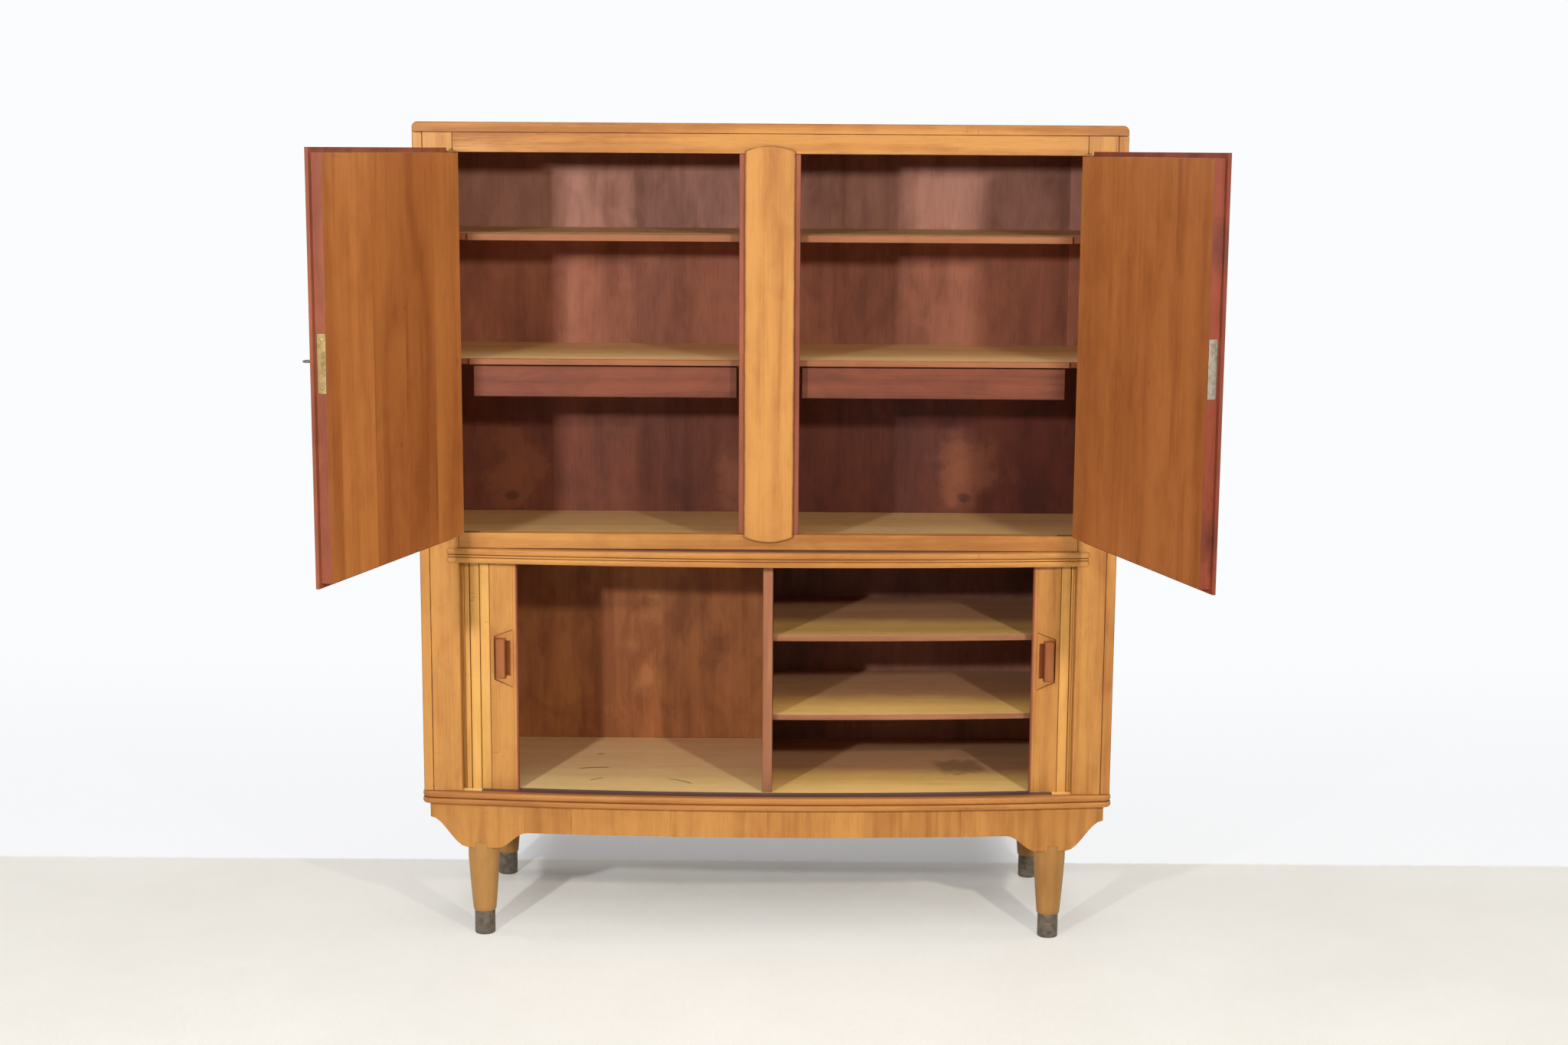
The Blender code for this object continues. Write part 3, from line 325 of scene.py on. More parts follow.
# Rubbed and darkened edges, partly wear and partly painted shade along edges and joints: the mesh marks its softened
# edges with the edge attribute
def makeEdgeWearAndShade():
    group, given, out = newGroup(
        "edgeWearAndShade",
        [
            ("Color", "Color", None),
            ("Place", "Vector", None),
            ("Worn", "Color", (0.8, 0.5, 0.2, 1)),
            ("Amount", "Float", 0.5),
        ],
        [("Color", "Color"), ("Mask", "Float")],
    )
    edge = addNode(group, "ShaderNodeAttribute", attribute_name="edge").outputs["Fac"]
    rubbed = times(group, edge, patches(group, given["Place"], "wear"))
    mask = times(group, rubbed, given["Amount"], clamp=True)
    feed(group, out["Color"], blendTones(group, mask, given["Color"], given["Worn"]))
    feed(group, out["Mask"], mask)
    return group


markShape = {"dentLength": 0.6, "dentScale": 17, "dentSpan": (0.075, 0.03), "nickLength": 0.12, "filmRough": 0.08}


# Marks of use: small dents, short scratches and a faint uneven film
def makeUseMarks():
    group, given, out = newGroup(
        "useMarks",
        [
            ("Color", "Color", None),
            ("Place", "Vector", None),
            ("Mark", "Color", (0.2, 0.08, 0.03, 1)),
            ("Amount", "Float", 0.3),
            ("Rough", "Float", 0.4),
        ],
        [("Color", "Color"), ("Rough", "Float"), ("Height", "Float")],
    )
    place = given["Place"]
    cells = {"Vector": stretch(group, place, (1, 1, markShape["dentLength"])), "Scale": markShape["dentScale"]}
    spots = fill(group, addNode(group, "ShaderNodeTexVoronoi", feature="F1"), cells)
    dent = between(group, spots["Distance"], *markShape["dentSpan"])
    dent = times(group, dent, patches(group, place, "dents"))
    nick = patches(group, stretch(group, place, (markShape["nickLength"], 1, 1)), "nick")
    nick = times(group, nick, patches(group, place, "nicks"))
    film = patches(group, place, "film")
    mask = times(group, sums(group, "MAXIMUM", dent, nick), given["Amount"], clamp=True)
    feed(group, out["Color"], blendTones(group, mask, given["Color"], given["Mark"]))
    feed(group, out["Rough"], timesPlus(group, film, markShape["filmRough"], given["Rough"]))
    feed(group, out["Height"], times(group, mask, -1.0))
    return group


metalShape = {"lineLength": 0.08, "lines": (2200, 2.0, 0.6), "patchRough": 0.25, "lineRough": 0.1, "patchHeight": 0.6}


# Old metal: clean and tarnished tones in clouds, with fine rubbing lines
def makeOldMetal():
    group, given, out = newGroup(
        "oldMetal",
        [
            ("Place", "Vector", None),
            ("Clean", "Color", (0.6, 0.45, 0.2, 1)),
            ("Tarnish", "Color", (0.2, 0.14, 0.07, 1)),
            ("Amount", "Float", 0.5),
            ("Base Rough", "Float", 0.32),
        ],
        [("Color", "Color"), ("Rough", "Float"), ("Height", "Float")],
    )
    patch = patches(group, given["Place"], "tarnish")
    lines = cloud(group, stretch(group, given["Place"], (1, 1, metalShape["lineLength"])), *metalShape["lines"])
    mask = times(group, patch, given["Amount"], clamp=True)
    feed(group, out["Color"], blendTones(group, mask, given["Clean"], given["Tarnish"]))
    rough = timesPlus(group, mask, metalShape["patchRough"], given["Base Rough"])
    feed(group, out["Rough"], timesPlus(group, lines, metalShape["lineRough"], rough))
    feed(group, out["Height"], timesPlus(group, patch, metalShape["patchHeight"], lines))
    return group


filmAndShadeShape = {"noise": (9, 4.0, 0.6), "ragged": 0.05, "span": (0.0, 0.08)}


# A browner film over a board that darkens it towards the back, partly painted shade; the strip before its border is
# rubbed bare
def makeFilmAndShade():
    group, given, out = newGroup(
        "filmAndShade",
        [
            ("Color", "Color", None),
            ("Place", "Vector", None),
            ("Film", "Color", (0.5, 0.4, 0.6, 1)),
            ("Border", "Float", 0.17),
        ],
        [("Color", "Color")],
    )
    split = axes(group, given["Place"])
    ragged = timesPlus(group, cloud(group, given["Place"], *filmAndShadeShape["noise"]), filmAndShadeShape["ragged"], split["Y"])
    mask = between(group, sums(group, "SUBTRACT", ragged, given["Border"]), *filmAndShadeShape["span"])
    feed(group, out["Color"], blendTones(group, mask, given["Color"], given["Film"], "MULTIPLY"))
    return group


scratchShape = {"noise": (60, 3.0, 0.6), "acrossSpan": (1.0, 0.4), "alongSpan": (1.0, 0.6)}


# One scratch or stain on a level board: its middle, turn, half length and half width, and its bend
def makeScratch():
    group, given, out = newGroup(
        "scratch",
        [
            ("Color", "Color", None),
            ("Place", "Vector", None),
            ("Spot", "Vector", None),
            ("Turn", "Vector", None),
            ("Size", "Vector", (0.03, 0.002, 1)),
            ("Bend", "Float", 0.0),
            ("Ragged", "Float", 0.5),
            ("Mark", "Color", (0.2, 0.1, 0.04, 1)),
            ("Amount", "Float", 0.7),
        ],
        [("Color", "Color")],
    )
    local = {"Vector": given["Place"], "Location": given["Spot"], "Rotation": given["Turn"], "Scale": given["Size"]}
    local = fill(group, addNode(group, "ShaderNodeMapping", vector_type="TEXTURE"), local)["Vector"]
    split = axes(group, local)
    along, across = split["X"], split["Y"]
    across = timesPlus(group, times(group, along, along), given["Bend"], across)
    noise = sums(group, "SUBTRACT", cloud(group, given["Place"], *scratchShape["noise"]), 0.5)
    across = timesPlus(group, noise, given["Ragged"], across)
    mask = between(group, sums(group, "ABSOLUTE", across), *scratchShape["acrossSpan"])
    mask = times(group, mask, between(group, sums(group, "ABSOLUTE", along), *scratchShape["alongSpan"]))
    mask = times(group, mask, given["Amount"])
    feed(group, out["Color"], blendTones(group, mask, given["Color"], given["Mark"]))
    return group


woodGrain = makeWoodGrain()
knotFigure = makeKnotFigure()
filmAndShade = makeFilmAndShade()
scratch = makeScratch()
edgeWearAndShade = makeEdgeWearAndShade()
useMarks = makeUseMarks()
oldMetal = makeOldMetal()
print("shader groups ready")

# Wood tones as light, dark and pore colours
tones = {
    "golden": ((0.56, 0.262, 0.064), (0.365, 0.138, 0.029), (0.18, 0.055, 0.013)),
    "bead": ((0.54, 0.235, 0.056), (0.36, 0.130, 0.028), (0.16, 0.045, 0.012)),
    "honey": ((0.735, 0.408, 0.11), (0.546, 0.26, 0.0626), (0.315, 0.117, 0.0302)),
    "amber": ((0.56, 0.208, 0.052), (0.36, 0.110, 0.026), (0.16, 0.042, 0.011)),
    "amberShaded": ((0.4592, 0.1621, 0.0418), (0.2968, 0.08547, 0.0198), (0.1344, 0.0333, 0.0088)),
    "red": ((0.339, 0.0979, 0.0439), (0.194, 0.0489, 0.0226), (0.1, 0.0245, 0.0125)),
    "ruby": ((0.30, 0.063, 0.027), (0.172, 0.033, 0.014), (0.090, 0.017, 0.0075)),
    "mauve": ((0.37, 0.150, 0.072), (0.25, 0.090, 0.042), (0.13, 0.042, 0.02)),
    "drawer": ((0.192, 0.0491, 0.0206), (0.0912, 0.0213, 0.00853), (0.041, 0.00981, 0.00498)),
    "edge": ((0.33, 0.122, 0.045), (0.21, 0.068, 0.025), (0.11, 0.032, 0.012)),
    "pale": ((0.88, 0.64, 0.315), (0.75, 0.51, 0.225), (0.52, 0.32, 0.13)),
    "sunny": ((0.92, 0.655, 0.24), (0.79, 0.52, 0.165), (0.54, 0.32, 0.10)),
    "paleAndLit": ((0.94, 0.695, 0.315), (0.81, 0.56, 0.222), (0.55, 0.34, 0.13)),
    "greySheen": ((0.451, 0.214, 0.149), (0.243, 0.101, 0.0654), (0.126, 0.0468, 0.0301)),
    "plum": ((0.372, 0.132, 0.07052), (0.2046, 0.06512, 0.0328), (0.1023, 0.02992, 0.0164)),
    "wine": ((0.192, 0.0518, 0.02442), (0.096, 0.0238, 0.01188), (0.048, 0.0112, 0.00594)),
    "darkWine": ((0.162, 0.0356, 0.0163), (0.0783, 0.0163, 0.00813), (0.0392, 0.00851, 0.00444)),
    "cocoa": ((0.305, 0.128, 0.080), (0.150, 0.060, 0.040), (0.073, 0.031, 0.0215)),
    "russet": ((0.40, 0.145, 0.043), (0.225, 0.069, 0.019), (0.11, 0.032, 0.009)),
    "tan": ((0.45, 0.230, 0.066), (0.33, 0.152, 0.040), (0.20, 0.08, 0.022)),
    "seam": ((0.25, 0.092, 0.020), (0.17, 0.056, 0.012), (0.09, 0.030, 0.007)),
    "groove": ((0.20, 0.056, 0.012), (0.12, 0.032, 0.007), (0.06, 0.018, 0.004)),
    "grip": ((0.345, 0.114, 0.035), (0.23, 0.064, 0.020), (0.11, 0.030, 0.010)),
    "track": ((0.15, 0.078, 0.068), (0.095, 0.047, 0.041), (0.05, 0.024, 0.02)),
    "board": ((0.46, 0.31, 0.17), (0.35, 0.22, 0.11), (0.22, 0.13, 0.06)),
}

# How the grain lies: a turn that brings its run onto Z
grainTurns = {"up": (0, 0, 0), "across": (0, pi / 2, 0), "deep": (pi / 2, 0, 0), "sideUp": (0, 0, pi / 2)}

# What a wood finish starts from; a piece may change any of it
woodLook = {
    "rings": 24.0,
    "wander": 1.8,
    "flame": 0.0,
    "streak": 0.9,
    "lines": 1.0,
    "clouds": 1.0,
    "plank": 0.30,
    "plankShift": 0.22,
    "rough": 0.40,
    "sheen": 0.26,
    "marks": 0.35,
    "wear": 0.62,
    "edgeTone": 0.9,
    "bump": 0.25,
    "bumpDepth": 0.0006,
}
grainInputs = {
    "Rings": "rings",
    "Wander": "wander",
    "Flame": "flame",
    "Streak": "streak",
    "Lines": "lines",
    "Clouds": "clouds",
    "Plank": "plank",
    "Plank Shift": "plankShift",
    "Base Rough": "rough",
}
# Shades of the pore colour that marks take
markShades = {"knot": 0.5, "scratch": 0.16, "use": 0.6}


def opaque(colour, share=1.0):
    return (*(share * part for part in colour), 1.0)


def newFinish(name):
    finish = bpy.data.materials.new(name)
    finish.use_nodes = True
    tree = finish.node_tree
    place = addNode(tree, "ShaderNodeTexCoord").outputs["Object"]
    return finish, tree, tree.nodes["Principled BSDF"], place


def addRelief(tree, shader, height, strength, depth):
    values = {"Height": height, "Strength": strength, "Distance": depth}
    feed(tree, shader.inputs["Normal"], fill(tree, addNode(tree, "ShaderNodeBump"), values)["Normal"])


def woodFinish(name, tone, grain="up", swing=0.0, shift=(0.0, 0.0, 0.0), knots=(), film=None, scratches=(), **look):
    values = {**woodLook, **look}
    light, dark, pore = tones[tone]
    finish, tree, shader, place = newFinish(name)
    x, y, z = grainTurns[grain]
    lay = {"Vector": place, "Rotation": (x, y, z + swing), "Location": shift}
    run = fill(tree, addNode(tree, "ShaderNodeMapping"), lay)["Vector"]
    given = {"Place": run, "Light": opaque(light), "Dark": opaque(dark), "Pore": opaque(pore)}
    given.update({label: values[setting] for label, setting in grainInputs.items()})
    wood = placeGroup(tree, woodGrain, given)
    colour = wood["Color"]
    for spot, reach, glow, amount, heart in knots:
        given = {"Color": colour, "Place": run, "Spot": spot, "Reach": reach, "Glow": opaque(glow)}
        given.update({"Core": opaque(pore, markShades["knot"]), "Amount": amount, "Heart": heart})
        colour = placeGroup(tree, knotFigure, given)["Color"]
    if film:
        tint, border = film
        given = {"Color": colour, "Place": place, "Film": opaque(tint), "Border": border}
        colour = placeGroup(tree, filmAndShade, given)["Color"]
    for spot, angle, size, bend, ragged, amount in scratches:
        given = {"Color": colour, "Place": place, "Spot": spot, "Turn": (0.0, 0.0, angle), "Size": (*size, 1.0)}
        given.update({"Bend": bend, "Ragged": ragged, "Amount": amount})
        given["Mark"] = opaque(pore, markShades["scratch"])
        colour = placeGroup(tree, scratch, given)["Color"]
    given = {"Color": colour, "Place": run, "Mark": opaque(pore, markShades["use"])}
    given.update({"Amount": values["marks"], "Rough": wood["Rough"]})
    marked = placeGroup(tree, useMarks, given)
    # softened edges take the dark pore tone: partly wear, partly painted shade
    given = {"Color": marked["Color"], "Place": run, "Worn": opaque(pore, values["edgeTone"]), "Amount": values["wear"]}
    colour = placeGroup(tree, edgeWearAndShade, given)["Color"]
    fill(tree, shader, {"Base Color": colour, "Roughness": marked["Rough"], "Specular IOR Level": values["sheen"]})
    addRelief(tree, shader, sums(tree, "ADD", wood["Height"], marked["Height"]), values["bump"], values["bumpDepth"])
    return finish


# Rubbed edges of metal are a little lighter than its clean tone
metalLook = {"edgeGain": 1.25, "edgeLift": 0.03, "wear": 0.6, "bump": 0.2, "bumpDepth": 0.0002}


def metalFinish(name, clean, tarnish, amount, rough, metallic=1.0):
    finish, tree, shader, place = newFinish(name)
    given = {"Place": place, "Clean": opaque(clean), "Tarnish": opaque(tarnish), "Amount": amount, "Base Rough": rough}
    metal = placeGroup(tree, oldMetal, given)
    worn = [min(1.0, metalLook["edgeGain"] * part + metalLook["edgeLift"]) for part in clean]
    given = {"Color": metal["Color"], "Place": place, "Worn": opaque(worn), "Amount": metalLook["wear"]}
    colour = placeGroup(tree, edgeWearAndShade, given)["Color"]
    fill(tree, shader, {"Base Color": colour, "Roughness": metal["Rough"], "Metallic": metallic})
    addRelief(tree, shader, metal["Height"], metalLook["bump"], metalLook["bumpDepth"])
    return finish


# Coarse linen glued behind the tambour slats
linenLook = {
    "threads": 5200,
    "dark": (0.24, 0.19, 0.12),
    "light": (0.34, 0.28, 0.19),
    "soil": (0.19, 0.13, 0.08),
    "rough": 0.92,
    "bump": 0.4,
    "bumpDepth": 0.0003,
}


def linenFinish(name):
    finish, tree, shader, place = newFinish(name)
    split = axes(tree, place)
    warp, weft = [sums(tree, "SINE", times(tree, split[axis], linenLook["threads"])) for axis in "ZX"]
    weave = timesPlus(tree, times(tree, warp, weft), 0.5, 0.5)
    colour = blendTones(tree, weave, opaque(linenLook["dark"]), opaque(linenLook["light"]))
    colour = blendTones(tree, patches(tree, place, "soil"), colour, opaque(linenLook["soil"]))
    fill(tree, shader, {"Base Color": colour, "Roughness": linenLook["rough"]})
    addRelief(tree, shader, weave, linenLook["bump"], linenLook["bumpDepth"])
    return finish


openTurn = cabinet["openAngle"]
doorGrain = {"rings": 9, "wander": 3.2, "flame": 1.6, "streak": 0.85, "plankShift": 0.26}
backGrain = {"rings": 5, "wander": 2, "flame": 9, "plank": 0.55, "rough": 0.5, "marks": 0.2}
backGrain.update(streak=0.95, lines=0.5, clouds=1.3)
lowerGrain = dict(backGrain, lines=0.85, clouds=1.5, flame=6)

# Knots of the back panel: place, reach, colour of the flame, its strength and that of the heart
upperKnots = [
    ((-0.485, 0.43, 0.729), 0.064, (0.30, 0.098, 0.042), 0.60, 0.5),
    ((0.364, 0.43, 0.732), 0.064, (0.30, 0.100, 0.044), 0.60, 0.6),
    ((-0.060, 0.43, 0.725), 0.050, (0.32, 0.118, 0.055), 0.55, 0.1),
]
lowerKnots = [
    ((-0.205, 0.43, 0.545), 0.085, (0.48, 0.200, 0.070), 0.45, 0.0),
    ((-0.233, 0.43, 0.372), 0.026, (0.56, 0.240, 0.080), 0.42, 0.0),
    ((-0.217, 0.43, 0.490), 0.030, (0.52, 0.220, 0.072), 0.30, 0.0),
    ((-0.261, 0.43, 0.430), 0.019, (0.52, 0.220, 0.072), 0.28, 0.0),
    ((-0.097, 0.43, 0.416), 0.036, (0.14, 0.040, 0.012), 0.55, 0.15),
]
# Dark patches on the right door's lip
lipPatches = [
    ((0.672, -0.43, 0.775), 0.100, (0.20, 0.040, 0.017), 0.6, 0.0),
    ((0.672, -0.43, 0.765), 0.042, (0.085, 0.018, 0.010), 0.8, 0.0),
    ((0.676, -0.43, 1.215), 0.030, (0.11, 0.024, 0.014), 0.7, 0.0),
]
# Hand-worn patches beside the grips
gripPatches = [
    ((-0.0655, -0.03, 1.158), 0.048, (0.36, 0.118, 0.034), 0.55, 0.0),
    ((0.889, -0.03, 1.158), 0.048, (0.36, 0.118, 0.034), 0.55, 0.0),
]
# Scratches and a stain of the lower floor: middle, turn, half length and width, bend, raggedness and strength
floorScratches = [
    ((-0.3115, 0.296, 0.265), 0.0, (0.008, 0.0035), 0.0, 0.4, 0.7),
    ((-0.316, 0.203, 0.265), 0.18, (0.034, 0.0035), 1.2, 0.5, 0.85),
    ((-0.305, 0.128, 0.265), 0.67, (0.016, 0.0028), 0.3, 0.5, 0.7),
    ((-0.153, 0.118, 0.265), -0.62, (0.031, 0.0028), 2.0, 0.5, 0.8),
]
floorStain = [((0.350, 0.225, 0.265), 0.2, (0.050, 0.060), 0.0, 1.6, 0.45)]
lowBoard = {"wander": 2.4, "plank": 0.22, "wear": 0.2}
finishes = {
    "stile": woodFinish("goldenTeakUp", "golden", "up", rings=20, plank=0.61, plankShift=0.1, streak=1.1),
    "rail": woodFinish(
        "goldenTeakAcross", "golden", "across", rings=30, wander=2.6, plank=0.4, plankShift=0.08, streak=1.15
    ),
    "caseSide": woodFinish("goldenTeakSide", "golden", "sideUp", rings=16, wander=2.6, plank=0.13, plankShift=0.2),
    "caseTop": woodFinish("goldenTeakTop", "golden", "across", rings=14, wander=2.4, plank=5.0),
    "apron": woodFinish(
        "goldenTeakApron", "golden", "up", rings=34, wander=2.4, plank=0.085, plankShift=0.14, streak=0.8
    ),
    "cover": woodFinish("honeyTeakUp", "golden", "up", shift=(0.21, 0, 0.4), rings=18, plank=0.9, plankShift=0.05),
    "slat": woodFinish("honeyTeakSlat", "honey", "up", shift=(0.1, 0, 0.2), rings=22, plank=0.0175, plankShift=0.12),
    "leader": woodFinish(
        "goldenTeakLeader", "golden", "up", shift=(0.4, 0, 0.7), knots=gripPatches, rings=22, plank=0.9, plankShift=0
    ),
    "pelmet": woodFinish(
        "goldenTeakPelmet", "golden", "across", shift=(0, 0, 0.3), rings=40, plank=0.9, plankShift=0.1
    ),
    "moulding": woodFinish("goldenTeakBead", "bead", "across", shift=(0, 0, 0.3), rings=40, plank=0.9),
    # the doors' inner faces are one wood in a lighter and a darker tone: painted light and shade
    "doorLeft": woodFinish("amberTeakLeft", "amber", "up", swing=openTurn, plank=0.112, **doorGrain),
    "doorRight": woodFinish("amberTeakRightShaded", "amberShaded", "up", swing=-openTurn, plank=0.121, **doorGrain),
    "outLeft": woodFinish("goldenTeakDoorLeft", "golden", "up", swing=openTurn, rings=13, wander=2.8, plank=0.24),
    "outRight": woodFinish("goldenTeakDoorRight", "golden", "up", swing=-openTurn, rings=13, wander=2.8, plank=0.24),
    "lip": woodFinish("redTeakUp", "red", "up", rings=30, plank=0.7, plankShift=0.1),
    "lipRight": woodFinish("redTeakRightLip", "ruby", "up", rings=30, plank=0.7, plankShift=0.1, knots=lipPatches),
    "divider": woodFinish("mauveTeakUp", "mauve", "up", rings=24, plank=0.7, plankShift=0.05),
    "redAcross": woodFinish("mauveTeakAcross", "mauve", "across", rings=34, plank=0.7, plankShift=0.05, streak=0.95),
    "drawerFace": woodFinish("wineTeakAcross", "drawer", "across", rings=38, plank=0.7, plankShift=0.05, streak=1.1),
    "shelf": woodFinish("paleWoodAcross", "pale", "across", rings=16, wander=2.2, plank=0.19, wear=0.2, marks=0.5),
    "shelfEdge": woodFinish("edgeTeakAcross", "edge", "across", rings=40, plank=0.8, plankShift=0.05),
    # the lower boards are darker towards the back: partly a browner film, partly painted shade
    "shelfLow": woodFinish(
        "paleWoodLowShelf", "sunny", "across", rings=16, film=((0.54, 0.44, 0.68), 0.183), **lowBoard
    ),
    # the left floor's lighter tone is partly painted light
    "floorWood": woodFinish(
        "paleWoodFloor",
        "paleAndLit",
        "across",
        rings=12,
        film=((0.96, 0.89, 1.0), 0.150),
        scratches=floorScratches,
        **lowBoard,
    ),
    "floorRight": woodFinish(
        "paleWoodRightFloor",
        "sunny",
        "across",
        rings=12,
        film=((0.56, 0.46, 0.70), 0.170),
        scratches=floorStain,
        **lowBoard,
    ),
    # the greyer tone at the top of the back is a painted sheen
    "backUpper": woodFinish("greySheenWoodBack", "greySheen", "up", **backGrain),
    "backMiddle": woodFinish("plumWoodMiddle", "plum", "up", **backGrain),
    "backDeep": woodFinish("wineWoodBack", "wine", "up", knots=upperKnots, **backGrain),
    "backDark": woodFinish("darkWineWoodBack", "darkWine", "up", knots=upperKnots, **backGrain),
    "backShelved": woodFinish("cocoaWoodBack", "cocoa", "up", **backGrain),
    "backLower": woodFinish("russetWoodBack", "russet", "up", knots=lowerKnots, **lowerGrain),
    "inside": woodFinish("plumWoodInside", "plum", "sideUp", rings=14, wander=2.4, plank=0.16, rough=0.5),
    "rear": woodFinish("plainBoardRear", "board", "up", rings=8, wander=3.5, plank=0.4, rough=0.62, marks=0.8),
    "tray": woodFinish("paleWoodTray", "pale", "deep", rings=18, plank=0.2, rough=0.5),
    "grip": woodFinish("redGripWood", "grip", "up", rings=40, plank=0.9, plankShift=0.0),
    "track": woodFinish("darkTrackWood", "track", "across", rings=30, plank=0.8, streak=1.1, rough=0.5),
    "leg": woodFinish("tanLegWood", "tan", "up", rings=42, wander=1.2, plank=0.9, plankShift=0.0, marks=0.25),
    "brass": metalFinish("agedBrass", (0.42, 0.30, 0.125), (0.16, 0.115, 0.055), 0.8, 0.36),
    "dullPlate": metalFinish("dullPlateMetal", (0.34, 0.30, 0.235), (0.12, 0.10, 0.08), 0.8, 0.36),
    "hinge": metalFinish("darkHingeBrass", (0.22, 0.15, 0.07), (0.10, 0.06, 0.03), 0.85, 0.42),
    "keyMetal": metalFinish("darkKeyMetal", (0.20, 0.17, 0.14), (0.08, 0.06, 0.05), 0.8, 0.38),
    "screw": metalFinish("screwBrass", (0.50, 0.39, 0.20), (0.15, 0.11, 0.06), 0.8, 0.36),
    "ferrule": metalFinish("darkFerruleMetal", (0.185, 0.150, 0.112), (0.09, 0.072, 0.055), 0.85, 0.5, 0.6),
    # dark finishes for seams, quirks and carved hollows: partly dirt, partly painted shade
    "seam": woodFinish("seamDirtAndShadeWood", "seam", "across", rings=30, plank=0.8, rough=0.6, sheen=0.08),
    "groove": woodFinish("grooveShadeWood", "groove", "up", rings=30, plank=0.8, rough=0.6, sheen=0.08),
    "linen": linenFinish("soiledLinen"),
}
print("finishes ready:", len(finishes))


# Small helpers for meshes, and their tolerances
cleaning = {"weld": 2e-5, "flat": radians(0.1), "least": 1e-6}


def addPiece(name, shape, body, finishNames, stands=(), smooth=35, even=True):
    mesh = bpy.data.meshes.new(name)
    shape.to_mesh(mesh)
    shape.free()
    for finishName in finishNames:
        mesh.materials.append(finishes[finishName])
    mesh.polygons.foreach_set("use_smooth", [True] * len(mesh.polygons))
    mesh.set_sharp_from_angle(angle=radians(smooth))
    piece = bpy.data.objects.new(name, mesh)
    scene.collection.objects.link(piece)
    if even:
        level = piece.modifiers.new("evenShading", "WEIGHTED_NORMAL")
        level.keep_sharp = True
    if body:
        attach(piece, body)
    if stands:
        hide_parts(*stands)
    return piece


def nodeShape(node):
    shape = bmesh.new()
    shape.from_mesh(nodes[node].data)
    bmesh.ops.remove_doubles(shape, verts=shape.verts, dist=cleaning["weld"])
    bmesh.ops.dissolve_limit(shape, angle_limit=cleaning["flat"], verts=shape.verts, edges=shape.edges)
    return shape


# Softened edges are marked for the edge tone, on wood partly painted shade; with a halo the mark fades out over a
# border beside them
def softenEdges(shape, width, steps=2, sharp=25, shortest=0.0, halo=0.0):
    layer = shape.loops.layers.float.new("edge")
    edges = []
    for edge in shape.edges:
        if len(edge.link_faces) == 2 and edge.calc_length() >= shortest and edge.calc_face_angle(0) > radians(sharp):
            edges.append(edge)
    if not edges:
        return
    made = bmesh.ops.bevel(
        shape,
        geom=edges,
        offset=width,
        offset_type="OFFSET",
        segments=steps,
        profile=0.5,
        affect="EDGES",
        clamp_overlap=True,
    )
    soft = set(made["faces"])
    for face in soft:
        for loop in face.loops:
            loop[layer] = 1.0
    if not halo:
        return
    # only faces at least five borders wide have room for it
    broad = []
    for face in shape.faces:
        if face not in soft and face.calc_area() > 5 * halo * max(edge.calc_length() for edge in face.edges):
            broad.append(face)
    inner = bmesh.ops.inset_individual(shape, faces=broad, thickness=halo, use_even_offset=True)
    within = {vert for face in broad for vert in face.verts}
    for rim in inner["faces"]:
        outer = [edge for edge in rim.edges if not any(vert in within for vert in edge.verts)]
        beside = any(face in soft for edge in outer for face in edge.link_faces)
        for loop in rim.loops:
            loop[layer] = 1.0 if beside and loop.vert not in within else 0.0


def splitAt(shape, place, direction):
    everything = shape.verts[:] + shape.edges[:] + shape.faces[:]
    bmesh.ops.bisect_plane(shape, geom=everything, dist=cleaning["least"], plane_co=place, plane_no=direction)


# Gives every face the finish that a rule names for it, and tells which ones are used
def paintFaces(shape, rule):
    shape.normal_update()
    chosen = [rule(face) for face in shape.faces]
    used = sorted(set(chosen))
    for face, finishName in zip(shape.faces, chosen):
        face.material_index = used.index(finishName)
    return used


# A CAD node in finer clothes: cleaned, its long edges softened, cut where the finish changes, then painted
# with one finish or by a rule
def dress(node, body, slot, finish, soft=0.0008, steps=2, cuts=(), shortest=0.012, halo=0.0):
    shape = nodeShape(node)
    if soft:
        softenEdges(shape, soft, steps, shortest=shortest, halo=halo)
    for place, direction in cuts:
        splitAt(shape, place, direction)
    bmesh.ops.dissolve_degenerate(shape, dist=cleaning["least"], edges=shape.edges)
    finishNames = paintFaces(shape, finish) if callable(finish) else [finish]
    addPiece(node + "_finished", shape, body, finishNames, (node,))


# Quads between neighbouring rings of points; a closed row also joins its last ring to its first
def joinRings(shape, rings, closed=False):
    count = len(rings[0])
    following = rings[1:] + rings[:1] if closed else rings[1:]
    for low, high in zip(rings, following):
        for i in range(count):
            k = (i + 1) % count
            shape.faces.new((low[i], low[k], high[k], high[i]))


# Outlines at rising levels joined into one closed skin
def loft(levels):
    shape = bmesh.new()
    rings = [[shape.verts.new(point) for point in level] for level in levels]
    joinRings(shape, rings)
    shape.faces.new(rings[0][::-1])
    shape.faces.new(rings[-1])
    bmesh.ops.recalc_face_normals(shape, faces=shape.faces)
    return shape


def roundAngles(steps):
    return [2 * pi * i / steps for i in range(steps)]


# A turned piece from a list of radius and height, bottom to top
def turned(profile, place, steps=64):
    x, y, z = place
    levels = []
    for radius, height in profile:
        levels.append([(x + radius * cos(a), y + radius * sin(a), z + height) for a in roundAngles(steps)])
    return loft(levels)


def addBlock(shape, first, second):
    middle = (Vector(first) + Vector(second)) / 2
    size = [abs(a - b) for a, b in zip(first, second)]
    bmesh.ops.create_cube(shape, size=1.0, matrix=Matrix.Translation(middle) @ Matrix.Diagonal((*size, 1)))


def ramp(start, end, steps):
    return [start + (end - start) * i / steps for i in range(steps + 1)]


def bowY(proud, x):
    return cabinet["bowCentreY"] - sqrt((cabinet["bowRadius"] + proud) ** 2 - x * x)


